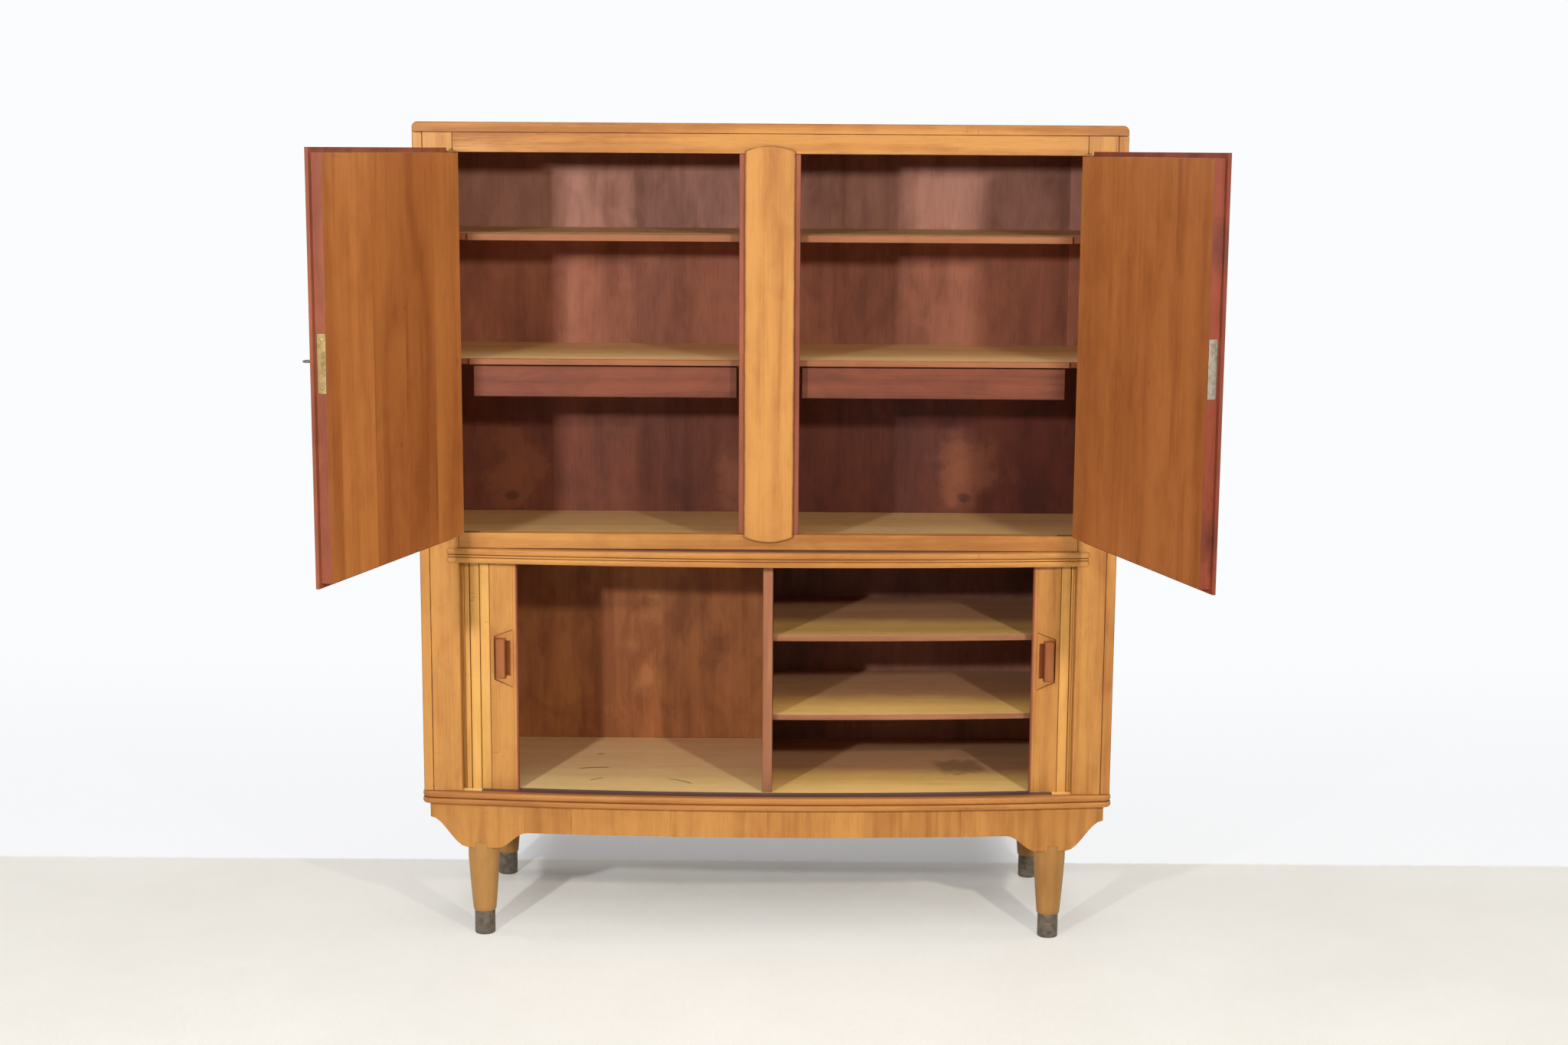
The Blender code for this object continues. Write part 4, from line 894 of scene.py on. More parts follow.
# How far a spot lies from the middle of the bow's circle
def bowReach(spot):
    return sqrt(spot.x**2 + (cabinet["bowCentreY"] - spot.y) ** 2)


def sideName(side, name):
    return ("left_" if side < 0 else "right_") + name


# Turns a closed door's points into the open place where it rests
def doorTurn(side):
    pin = Matrix.Translation((side * cabinet["hingeX"], cabinet["hingeY"], 0))
    return pin @ Matrix.Rotation(side * cabinet["openAngle"], 4, "Z") @ pin.inverted()


# Top panel; its rounding is given by run and inset in mm
topPanel = {
    "half": 0.6,
    "low": 1.403,
    "high": 1.420,
    "shoulder": 0.010,
    "shoulderSteps": 12,
    "heel": 0.0008,
    "heelSteps": 3,
    "leastRadius": 0.0001,
    "rounding": [(0.0, 1.6), (0.15, 1.0), (0.45, 0.55), (0.9, 0.2), (1.6, 0.0)],
    "worn": 0.0012,
}


# Its outline seen from the front, drawn in by the given inset
def topOutline(inset):
    heel = (topPanel["heel"], topPanel["low"] + topPanel["heel"], -pi / 2, topPanel["heelSteps"])
    shoulder = (topPanel["shoulder"], topPanel["high"] - topPanel["shoulder"], 0, topPanel["shoulderSteps"])
    right = []
    for radius, middleZ, first, steps in (heel, shoulder):
        middleX = topPanel["half"] - radius
        reach = max(radius - inset, topPanel["leastRadius"])
        for angle in ramp(first, first + pi / 2, steps):
            right.append((middleX + reach * cos(angle), middleZ + reach * sin(angle)))
    return right + [(-x, z) for x, z in reversed(right)]


def buildTop():
    back = cabinet["backY"]
    stations = [(frontY + run / 1000, inset / 1000) for run, inset in topPanel["rounding"]]
    stations += [(back - run / 1000, inset / 1000) for run, inset in reversed(topPanel["rounding"])]
    shape = loft([[(x, y, z) for x, z in topOutline(inset)] for y, inset in stations])
    layer = shape.loops.layers.float.new("edge")
    for face in shape.faces:
        for loop in face.loops:
            inside = min(loop.vert.co.y - frontY, back - loop.vert.co.y)
            loop[layer] = 1.0 if len(face.verts) == 4 and inside < topPanel["worn"] else 0.0
    finishNames = paintFaces(shape, lambda face: "caseTop" if face.normal.z > facing else "rail")
    addPiece("top_panel_finished", shape, "carcass", finishNames, ("top_panel",))


buildTop()
print("top panel done")

# Case boards, and the heights where their finish changes
caseBoards = {
    "soft": 0.0014,
    "backSoft": 0.0005,
    "bayTop": cabinet["ceilingZ"] + 0.010,
    "deepTop": 1.016,
    "middleTop": 1.228,
    "upperFloor": cabinet["ceilingZ"] + 0.022,
    "lowerFloor": cabinet["floorZ"] - 0.001,
    "floorReach": cabinet["runRadius"] - 0.003,
    "slices": ramp(-0.5, 0.5, 10),
}


def sideRule(face):
    if face.normal.y < -facing:
        return "stile"
    return "caseSide" if face.normal.x * face.calc_center_median().x > 0 else "inside"


# The inside of the back is redder and darker in the middle, partly painted shade, lighter and greyer above, a painted
# sheen, and lighter in the lower left bay
def backRule(face):
    centre = face.calc_center_median()
    if face.normal.y > facing:
        return "rear"
    if centre.z < caseBoards["bayTop"]:
        return "backLower" if centre.x < 0 else "backShelved"
    if centre.z > caseBoards["deepTop"]:
        return "backUpper" if centre.z > caseBoards["middleTop"] else "backMiddle"
    return "backDeep" if centre.x < 0 else "backDark"


def middleRule(face):
    if face.normal.z > facing:
        return "shelf" if face.calc_center_median().z > caseBoards["upperFloor"] else "track"
    return "inside" if face.normal.z < -facing else "track"


# Only the floor behind the track is pale, the strip before it is dark
def bottomRule(face):
    centre = face.calc_center_median()
    behind = bowReach(centre) < caseBoards["floorReach"]
    if not behind or face.normal.z < facing or centre.z < caseBoards["lowerFloor"]:
        return "track"
    # the left floor is painted lighter than the right one, partly painted light
    return "floorWood" if centre.x < 0 else "floorRight"


def buildCase():
    for side in sides:
        dress(sideName(side, "side_panel"), "carcass", "teak", sideRule, caseBoards["soft"])
    for node, edge in (("upper_partition", "lip"), ("lower_divider", "divider")):
        dress(node, "carcass", "red_teak", lambda face: edge if face.normal.y < -facing else "inside")
    for side in sides:
        dress(sideName(side, "pocket_liner"), "carcass", "back_wood", "inside")
    cuts = [((0, 0, caseBoards[level]), (0, 0, 1)) for level in ("bayTop", "deepTop", "middleTop")]
    cuts.append(((0, 0, 0), (1, 0, 0)))
    dress("back_panel", "carcass", "back_wood", backRule, caseBoards["backSoft"], cuts=cuts)
    dress("middle_board", "carcass", "pale_wood", middleRule, 0)
    cuts = [((x, 0, 0), (1, 0, 0)) for x in caseBoards["slices"]]
    dress("bottom_board", "carcass", "pale_wood", bottomRule, 0, cuts=cuts)


buildCase()
print("case boards done")

# Face frame and the covering strip between the doors
faceFrame = {"soft": 0.0007, "coverSoft": 0.0020, "coverSteps": 3, "halo": 0.0010}


def buildFrame():
    for node in ("left_frame_stile", "right_frame_stile"):
        dress(node, "carcass", "teak", "stile", faceFrame["soft"])
    for node in ("top_rail", "middle_rail"):
        dress(node, "carcass", "teak", "rail", faceFrame["soft"])
    dress("centre_post", "carcass", "teak", "lip", faceFrame["soft"])
    cover = {"soft": faceFrame["coverSoft"], "steps": faceFrame["coverSteps"], "halo": faceFrame["halo"]}
    dress("centre_stile", "carcass", "teak", "cover", shortest=0, **cover)


buildFrame()
print("face frame done")

# Beaded mouldings; a profile gives rises from the lower edge and the inset of the face there, in mm
pelmet = {
    "finish": "pelmet",
    "low": 0.672,
    "half": 0.553,
    "innerHalf": 0.5327,
    "proud": 0.0275,
    "strip": 0.014,
    "back": frontY - 0.0003,
    "corner": 0.0035,
    "quirks": [(9.1, 10.55), (13.45, 14.9)],
    "profile": [
        (0.0, 1.7), (0.7, 0.9), (2.0, 0.3), (3.6, 0.04), (5.2, 0.0), (6.8, 0.12), (8.2, 0.6),
        (9.2, 1.5), (9.7, 2.5), (10.2, 2.5), (10.5, 1.3), (13.5, 1.3), (13.8, 2.5), (14.3, 2.5),
        (14.8, 1.5), (15.8, 0.6), (17.2, 0.12), (18.9, 0.0), (20.6, 0.04), (22.3, 0.3),
        (23.7, 0.9), (24.7, 1.8),
    ],
}
baseMoulding = {
    "finish": "moulding",
    "low": 0.243,
    "half": 0.604,
    "innerHalf": 0.590,
    "proud": 0.0318,
    "strip": 0.014,
    "back": cabinet["backY"],
    "corner": 0.018,
    "quirks": [(9.5, 11.7)],
    "profile": [
        (0.0, 2.2), (0.6, 1.2), (1.8, 0.45), (3.4, 0.06), (5.0, 0.0), (6.8, 0.1), (8.4, 0.6),
        (9.6, 1.6), (10.2, 2.9), (11.0, 2.9), (11.6, 1.8), (12.6, 0.9), (14.0, 0.4), (15.8, 0.25),
        (17.8, 0.4), (19.6, 0.9), (21.0, 1.7), (22.0, 2.8),
    ],
}
bowSteps = 48  # straight runs along a bowed strip
cornerSteps = 8


# The outline of a bowed strip from the right back end round the front to the left one
def wrapOutline(proud, half, corner, back):
    turnX = half - corner
    turnY = bowY(proud, turnX) + corner
    right = [(half, back)]
    for angle in ramp(0, -pi / 2, cornerSteps):
        right.append((turnX + corner * cos(angle), turnY + corner * sin(angle)))
    front = [(x, bowY(proud, x)) for x in ramp(turnX, -turnX, bowSteps)][1:-1]
    return right + front + [(-x, y) for x, y in reversed(right)]


def buildMoulding(node, settings):
    innerHalf, proud, back = settings["innerHalf"], settings["proud"], settings["back"]
    inner = [(x, bowY(proud - settings["strip"], x)) for x in ramp(-innerHalf, innerHalf, bowSteps)]
    inner = [(-innerHalf, back)] + inner + [(innerHalf, back)]
    levels = []
    for rise, inset in settings["profile"]:
        cutIn = inset / 1000
        outer = wrapOutline(proud - cutIn, settings["half"] - cutIn, settings["corner"] - cutIn, back)
        levels.append([(x, y, settings["low"] + rise / 1000) for x, y in outer + inner])
    shape = loft(levels)

    # the quirks beside the beads are painted dark: partly dirt and old polish, partly painted shade
    def quirkRule(face):
        rise = (face.calc_center_median().z - settings["low"]) * 1000
        quirk = len(face.verts) == 4 and any(low < rise < high for low, high in settings["quirks"])
        return "seam" if quirk else settings["finish"]

    addPiece(node + "_beaded", shape, "carcass", paintFaces(shape, quirkRule), (node,), even=False)


buildMoulding("pelmet", pelmet)
buildMoulding("base_moulding", baseMoulding)
print("mouldings done")

# Aprons, legs and ferrules
base = {
    "apronSoft": 0.0009,
    "apronShortest": 0.003,
    "apronProud": 0.0198,
    "legX": 0.500,
    "legSetback": 0.0262,
    "backLegY": frontY + 0.3635,
    "legRadius": 0.0275,
    "legSwell": 0.0004,
    "footRadius": 0.0200,
    "spigot": [(0.0155, 0.0055), (0.0157, 0.0433)],
    "footLow": 0.0433,
    "shoulder": 0.171,
    "rounding": 0.001,
    "footRounding": 0.0006,
    "tenon": {"front_": 0.016, "back_": 0.0262},
    "tenonTop": 0.2424,
    "ferruleTop": 0.043,
    "ferruleRadius": 0.018,
    # insets and heights in mm: its foot, its rim with a thin groove, from the top, and the floor of the cup
    "ferruleFoot": [(2.2, 0.4), (1.2, 0.0), (0.3, 0.5), (0.0, 1.8)],
    "ferruleRim": [
        (0.0, -5.2), (0.5, -4.7), (0.5, -4.2), (0.0, -3.7), (0.0, -0.9), (0.4, -0.2), (1.0, 0.0), (1.8, -0.4),
    ],
    "ferruleFloor": (1.9, 6.2),
}


# The spigot in the ferrule, the tapered leg with a slight swell, and the tenon
def legProfile(tenon):
    top, low = base["shoulder"], base["footLow"]
    wide, foot = base["legRadius"], base["footRadius"]
    soft, footSoft = base["rounding"], base["footRounding"]
    profile = base["spigot"] + [(foot - footSoft, low), (foot, low + footSoft)]
    bend = top - wide
    for t in ramp(0.1, 1.0, 9):
        profile.append((foot + (wide - foot) * t + base["legSwell"] * sin(pi * t), low + (bend - low) * t))
    return profile + [(wide, top - soft), (wide - soft, top), (tenon, top), (tenon, base["tenonTop"])]


# A cup that holds the foot of the leg
def ferruleProfile():
    rim = [(inset, base["ferruleTop"] * 1000 + rise) for inset, rise in base["ferruleRim"]]
    points = base["ferruleFoot"] + rim + [base["ferruleFloor"]]
    return [(base["ferruleRadius"] - inset / 1000, height / 1000) for inset, height in points]


def buildBase():
    dress("front_apron", "carcass", "teak", "apron", base["apronSoft"], shortest=base["apronShortest"])
    frontLegY = bowY(base["apronProud"], base["legX"]) + base["legSetback"]
    for side in sides:
        dress(sideName(side, "side_apron"), "carcass", "teak", "caseSide", base["apronSoft"])
        for row, y in (("front_", frontLegY), ("back_", base["backLegY"])):
            place = (side * base["legX"], y, 0)
            leg = turned(legProfile(base["tenon"][row]), place)
            cup = turned(ferruleProfile(), place)
            name = row + sideName(side, "leg")
            addPiece(name + "_turned", leg, "carcass", ["leg"], (name,), smooth=40, even=False)
            name = row + sideName(side, "ferrule")
            addPiece(name + "_turned", cup, "carcass", ["ferrule"], (name,), smooth=40, even=False)


buildBase()
print("base done")

# Doors with their lips, hinges, locks, bolts and the key
door = {
    "finishes": {-1: ("doorLeft", "outLeft", "lip"), 1: ("doorRight", "outRight", "lipRight")},
    "soft": 0.0009,
    "shortest": 0.03,
    "innerY": frontY + 0.012,
    "outerY": frontY - 0.005,
    "coreEdge": 0.0525,
}
hinge = {"soft": 0.0003, "steps": 1, "shortest": 0.004}
lock = {
    "plateFinish": {-1: "brass", 1: "dullPlate"},
    "z": 1.058,
    "y": frontY + 0.0085,
    "plate": (0.002, 0.014, 0.090),
    "plateSoft": 0.0004,
    "case": (0.035, 0.010, 0.060),
    "letIn": 0.0012,
    "boltSoft": 0.0004,
    "screwRise": 0.036,
    "screwRadius": 0.0031,
    "screwHead": 0.0005,
    "screwTurns": {-1: -0.3, 1: 1.3},
    "keyX": door["coreEdge"] + 0.031,
}
# Rings of the keyhole rose: half width, half height and how far it stands proud, in mm
rose = [(8.5, 15, -0.4), (8.5, 15, 0.3), (7.905, 13.95, 0.8), (3.6, 3.6, 0.8), (2.9, 2.9, 0.4), (2.9, 2.9, -0.4)]
roseSteps = 40
key = {
    "radius": 0.0022,
    "proud": 0.032,
    "bow": 0.0085,
    "wire": 0.0016,
    "inner": lock["y"] - 0.0003,
    "neck": 0.0012,
    "stemSteps": 24,
    "bowSteps": 40,
    "wireSteps": 12,
    # the stem's turnings: share of the radius, and place from its inner end or from the bow, in mm
    "tip": [(0.8, 0.0), (1.0, 0.4)],
    "collar": [
        (1.0, -4.6), (1.35, -4.0), (1.35, -2.8), (0.95, -2.2), (0.95, -1.2), (1.25, -0.6), (1.25, 0.6), (0.8, 1.2),
    ],
}
screwHead = {"steps": 24, "sunk": 0.0012, "slotFloor": 0.0001, "rings": [(1.0, 0.0), (0.93, 0.7), (0.6, 1.0)]}


def buildDoor(side):
    body = sideName(side, "door")
    back = doorTurn(side).inverted()
    inner, outer, lip = door["finishes"][side]

    def doorRule(face):
        y = (back @ face.calc_center_median()).y
        look = (back.to_3x3() @ face.normal).y
        if look > facing and y > door["innerY"]:
            return inner
        return outer if look < -facing and y < door["outerY"] else lip

    dress(body, body, "teak", doorRule, door["soft"], shortest=door["shortest"])
    for level in ("upper", "lower"):
        dress(sideName(side, level + "_hinge_frame_leaf"), "carcass", "brass", "hinge", **hinge)
        dress(sideName(side, level + "_hinge_door_leaf"), body, "brass", "hinge", **hinge)


# A slotted screw head facing along the given direction
def addScrew(shape, place, direction, radius, turnBy, rise):
    aim = Vector(direction).to_track_quat("Z", "Y").to_matrix().to_4x4()
    seat = Matrix.Translation(place) @ aim @ Matrix.Rotation(turnBy, 4, "Z")
    levels = [(radius, -screwHead["sunk"])]
    levels += [(radius * share, rise * height) for share, height in screwHead["rings"]]
    rings = []
    for reach, height in levels:
        spots = [seat @ Vector((reach * cos(a), reach * sin(a), height)) for a in roundAngles(screwHead["steps"])]
        rings.append([shape.verts.new(spot) for spot in spots])
    joinRings(shape, rings)
    shape.faces.new(rings[0][::-1])
    # the slot lies between the points beside both ends of the flat top
    top = rings[-1]
    half = screwHead["steps"] // 2
    rim = [top[1], top[half - 1], top[half + 1], top[-1]]
    drop = seat.to_3x3() @ Vector((0, 0, screwHead["slotFloor"] - rise))
    pit = [shape.verts.new(corner.co + drop) for corner in rim]
    shape.faces.new(top[1:half])
    shape.faces.new(top[half + 1 :])
    shape.faces.new(pit)
    shape.faces.new((rim[0], rim[1], pit[1], pit[0]))
    shape.faces.new((rim[1], top[half], rim[2], pit[2], pit[1]))
    shape.faces.new((rim[2], rim[3], pit[3], pit[2]))
    shape.faces.new((rim[3], top[0], rim[0], pit[0], pit[3]))


def buildLock(side):
    body = sideName(side, "door")
    edge, y, z = door["coreEdge"], lock["y"], lock["z"]
    thick, wide, tall = lock["plate"]
    deep, caseWide, caseTall = lock["case"]
    shape = bmesh.new()
    outer = (side * edge, y - wide / 2, z - tall / 2)
    inner = (side * (edge + thick), y + wide / 2, z + tall / 2)
    addBlock(shape, outer, inner)
    softenEdges(shape, lock["plateSoft"])
    outer = (side * (edge + lock["letIn"]), y - caseWide / 2, z - caseTall / 2)
    inner = (side * (edge + thick + deep), y + caseWide / 2, z + caseTall / 2)
    addBlock(shape, outer, inner)
    for sign, turnBy in lock["screwTurns"].items():
        place = (side * edge, y, z + sign * lock["screwRise"])
        addScrew(shape, place, (-side, 0, 0), lock["screwRadius"], turnBy, lock["screwHead"])
    bmesh.ops.recalc_face_normals(shape, faces=shape.faces)
    shape.transform(doorTurn(side))
    name = sideName(side, "lock")
    addPiece(name + "_plate", shape, body, [lock["plateFinish"][side]], (name,), smooth=30)
    dress(sideName(side, "lock_bolt"), sideName(side, "bolt"), "brass", "keyMetal", lock["boltSoft"], shortest=0)


# A thin keyhole rose let into the door's outer face
def buildRose(side):
    shape = bmesh.new()
    rings = []
    for spots in rose:
        wide, tall, proud = [size / 1000 for size in spots]
        ring = []
        for angle in roundAngles(roseSteps):
            x = side * lock["keyX"] + wide * cos(angle)
            ring.append(shape.verts.new((x, cabinet["hingeY"] - proud, lock["z"] + tall * sin(angle))))
        rings.append(ring)
    joinRings(shape, rings, closed=True)
    bmesh.ops.recalc_face_normals(shape, faces=shape.faces)
    shape.transform(doorTurn(side))
    name, body = sideName(side, "keyhole_rose"), sideName(side, "door")
    addPiece(name, shape, body, ["brass"], smooth=30, even=False)


# The left door's key: a stem with a collar, and a ring for its bow
def buildKey():
    side = -1
    x, z = side * lock["keyX"], lock["z"]
    ringY = cabinet["hingeY"] - key["proud"] + key["bow"] + key["wire"]
    length = key["inner"] - (ringY + key["bow"] + key["neck"])
    profile = [(share, run / 1000) for share, run in key["tip"]]
    profile += [(share, length + run / 1000) for share, run in key["collar"]]
    shape = turned([(key["radius"] * share, run) for share, run in profile], (0, 0, 0), key["stemSteps"])
    shape.transform(Matrix.Translation((x, key["inner"], z)) @ Matrix.Rotation(pi / 2, 4, "X"))
    rings = []
    for angle in roundAngles(key["bowSteps"]):
        ring = []
        for turn in roundAngles(key["wireSteps"]):
            reach = key["bow"] + key["wire"] * cos(turn)
            spot = (x + reach * cos(angle), ringY + reach * sin(angle), z + key["wire"] * sin(turn))
            ring.append(shape.verts.new(spot))
        rings.append(ring)
    joinRings(shape, rings, closed=True)
    bmesh.ops.recalc_face_normals(shape, faces=shape.faces)
    shape.transform(doorTurn(side))
    addPiece("left_key_forged", shape, "left_key", ["keyMetal"], ("left_key",), smooth=30, even=False)


for side in sides:
    buildDoor(side)
    buildLock(side)
    buildRose(side)
buildKey()
print("doors done")

# Shelves with front edging, and the shallow drawers
shelves = {
    "soft": {"upper_shelf": 0.0007, "drawer_shelf": 0.0004, "lower": 0.0007},
    "edging": 0.006,
    "lowerReach": cabinet["bowRadius"] - 0.036,
    "lowerFacing": 0.2,
}
drawers = {"frontSoft": 0.0012, "frontSteps": 3, "traySoft": 0.0005}


def dressShelf(node, front, soft):
    line = front + shelves["edging"]

    def shelfRule(face):
        if face.calc_center_median().y < line:
            return "shelfEdge"
        return "lip" if face.normal.y < -facing else "shelf"

    dress(node, "carcass", "pale_wood", shelfRule, soft, cuts=[((0, line, 0), (0, 1, 0))])


def lowerRule(face):
    upright = abs(face.normal.z) < facing and face.normal.y < -shelves["lowerFacing"]
    return "redAcross" if upright and bowReach(face.calc_center_median()) > shelves["lowerReach"] else "shelfLow"


def buildFittings():
    for side in sides:
        for name in ("upper_shelf", "drawer_shelf"):
            node = sideName(side, name)
            dressShelf(node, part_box(node)[0].y, shelves["soft"][name])
        body = sideName(side, "drawer")
        front, tray = sideName(side, "drawer_front"), sideName(side, "drawer_tray")
        dress(front, body, "red_teak", "drawerFace", drawers["frontSoft"], drawers["frontSteps"])
        dress(tray, body, "pale_wood", "tray", drawers["traySoft"], 1)
    for node in ("lower_shelf_high", "lower_shelf_low"):
        dress(node, "carcass", "pale_wood", lowerRule, shelves["soft"]["lower"], shortest=0)


buildFittings()
print("shelves and drawers done")

# Tambour shutters: a leading stile with a carved grip, slats beside it and the curtain that follows
tambour = {
    "slat": 0.0175,
    "face": 0.0045,  # half the thickness
    "leader": 0.048,
    "meeting": 0.0006,
    "gap": 0.0003,
    "low": 0.2583,
    "high": 0.6865,
    "lead": {-1: 0.435, 1: 0.460},
    "stiffSlats": {-1: 2, 1: 1},
    "closing": {-1: radians(5.3083), 1: radians(5.6147)},
    "zoneNear": {-1: 0.5235, 1: 0.5255},
    "zoneFar": 0.577,
    "zoneZ": 0.47,
    "halvings": 48,
    "turnRadius": 0.035,
    "turnLeft": radians(52),  # where the part along the case side begins in the corner
    "sideRunX": 0.571,
    "trackEnd": frontY + 0.362,
}
# The carved grip: runs from the lead edge and half heights; soft means the width of a rounded step
carving = {
    "z": 0.500,
    "edge": 0.0018,  # rounding of the stile's long edges
    "edgeDrop": 0.35,
    "redEdge": 0.0022,
    "redFacing": 0.7,
    "redReach": 0.0008,
    "nose": 0.0070,
    "noseShadeLine": 0.0005,
    "sunkReach": 0.0410,
    "sunkHalfShort": 0.0385,
    "sunkHalfLong": 0.0550,
    "sunkSlant": 0.9,
    "sunkDeep": 0.0032,
    "sunkStart": 0.12,
    "sunkSoft": 0.0011,
    "sunkShadeLine": (-0.0003, 0.0012),  # its dark outline, from outside to inside
    "sunkShadeLineFrom": 0.0090,
    "gripFrom": 0.0203,
    "gripTo": 0.0388,
    "gripHalf": 0.0365,
    "gripProud": 0.006,
    "gripCorner": 0.0045,
    "gripCrown": 0.22,
    "gripSoft": 0.0022,
    "gripShadeLine": 0.0011,
    "gripFoot": (0.0006, 0.0004),
    "fingerFrom": 0.0132,
    "fingerHalf": 0.0308,
    "fingerDeep": 0.0038,
    "fingerBefore": 0.0008,
    "fingerSoft": 0.0018,
}
# Where the stile's skin has its points: runs, and heights beside the carving
leaderGrid = {
    "leadRuns": [0.0, 0.0004, 0.0010, 0.0018],
    "carvedRuns": ramp(0.0026, 0.0428, 67),
    "farRuns": [0.0445, 0.0462, 0.0470, 0.0476, 0.048],
    "rim": 0.0005,
    "margin": 0.003,
    "step": 0.006,
    "lowest": 0.29,
    "highest": 0.66,
    "lowSteps": 6,
    "carvedSteps": 150,
    "highSteps": 5,
}
# Half of a slat's front as run and depth in mm, from a seam to near its middle
slatFront = [(0.0, 3.0), (0.25, 2.1), (0.6, 1.25), (1.1, 0.62), (1.8, 0.22), (2.8, 0.0)]
slatShape = {"crown": 0.00012, "backInset": 0.0002, "rim": 0.0004, "seamDeep": 0.0020}
slatFinishes = ["slat", "linen", "seam"]


def limited(value):
    return min(1.0, max(0.0, value))


def smoothStep(value):
    value = limited(value)
    return value * value * (3 - 2 * value)


def bowSpot(side, arc, proud):
    angle = arc / cabinet["runRadius"]
    reach = cabinet["runRadius"] + proud
    return side * reach * sin(angle), cabinet["bowCentreY"] - reach * cos(angle)


def leadArc(side):
    return cabinet["runRadius"] * asin(tambour["lead"][side] / cabinet["runRadius"])


# How far inside the sunk field a place lies: its sides slant, and it stops at the rounded nose
def sunkInside(run, rise):
    share = limited(run / carving["sunkReach"])
    halfHere = carving["sunkHalfLong"] + (carving["sunkHalfShort"] - carving["sunkHalfLong"]) * share
    return min(carving["sunkReach"] - run, run - carving["nose"], (halfHere - rise) * carving["sunkSlant"])


# How far the leader's face stands proud at a run from its lead edge and a height
def leaderRelief(run, height):
    rise = abs(height - carving["z"])
    deeper = carving["sunkStart"] + (1 - carving["sunkStart"]) * limited(run / carving["sunkReach"])
    proud = -smoothStep(sunkInside(run, rise) / carving["sunkSoft"]) * carving["sunkDeep"] * deeper
    # the bar has rounded ends and a crowned face
    middle = (carving["gripFrom"] + carving["gripTo"]) / 2
    halfRun = (carving["gripTo"] - carving["gripFrom"]) / 2
    corner = carving["gripCorner"]
    pastRun = max(0.0, abs(run - middle) - (halfRun - corner))
    pastRise = max(0.0, rise - (carving["gripHalf"] - corner))
    bar = corner - sqrt(pastRun**2 + pastRise**2)
    if bar > 0:
        top = carving["gripProud"] * (1 - carving["gripCrown"] * ((run - middle) / halfRun) ** 2)
        proud += (top - proud) * smoothStep(bar / carving["gripSoft"])
    # the groove for the fingers lies along the bar
    finger = min(run - carving["fingerFrom"], carving["gripFrom"] - run, carving["fingerHalf"] - rise)
    groove = smoothStep((finger + carving["fingerBefore"]) / carving["fingerSoft"])
    return proud - groove * carving["fingerDeep"]


leaderFinishes = ["leader", "lip", "seam", "grip", "groove"]


# Which finish the leader takes there; the carving's outline, the bar's foot, the finger groove and a thin line at the
# nose are painted dark, painted shade
def leaderFinish(run, height):
    rise = abs(height - carving["z"])
    if run < carving["redEdge"]:
        return "lip"
    gripFrom, gripTo, fingerFrom = carving["gripFrom"], carving["gripTo"], carving["fingerFrom"]
    before, after = carving["gripFoot"]
    if gripFrom - before < run < gripTo + after and rise < carving["gripHalf"]:
        return "groove" if min(run - gripFrom, gripTo - run) < carving["gripShadeLine"] else "grip"
    if fingerFrom < run < gripFrom and rise < carving["fingerHalf"]:
        return "groove" if run > fingerFrom + carving["fingerSoft"] else "grip"
    # a thin painted line at the nose stands for the shade of a groove
    if abs(run - carving["nose"]) < carving["noseShadeLine"]:
        return "grip"
    outer, inner = carving["sunkShadeLine"]
    outlined = outer < sunkInside(run, rise) < inner and run > carving["sunkShadeLineFrom"]
    return "seam" if outlined else "leader"


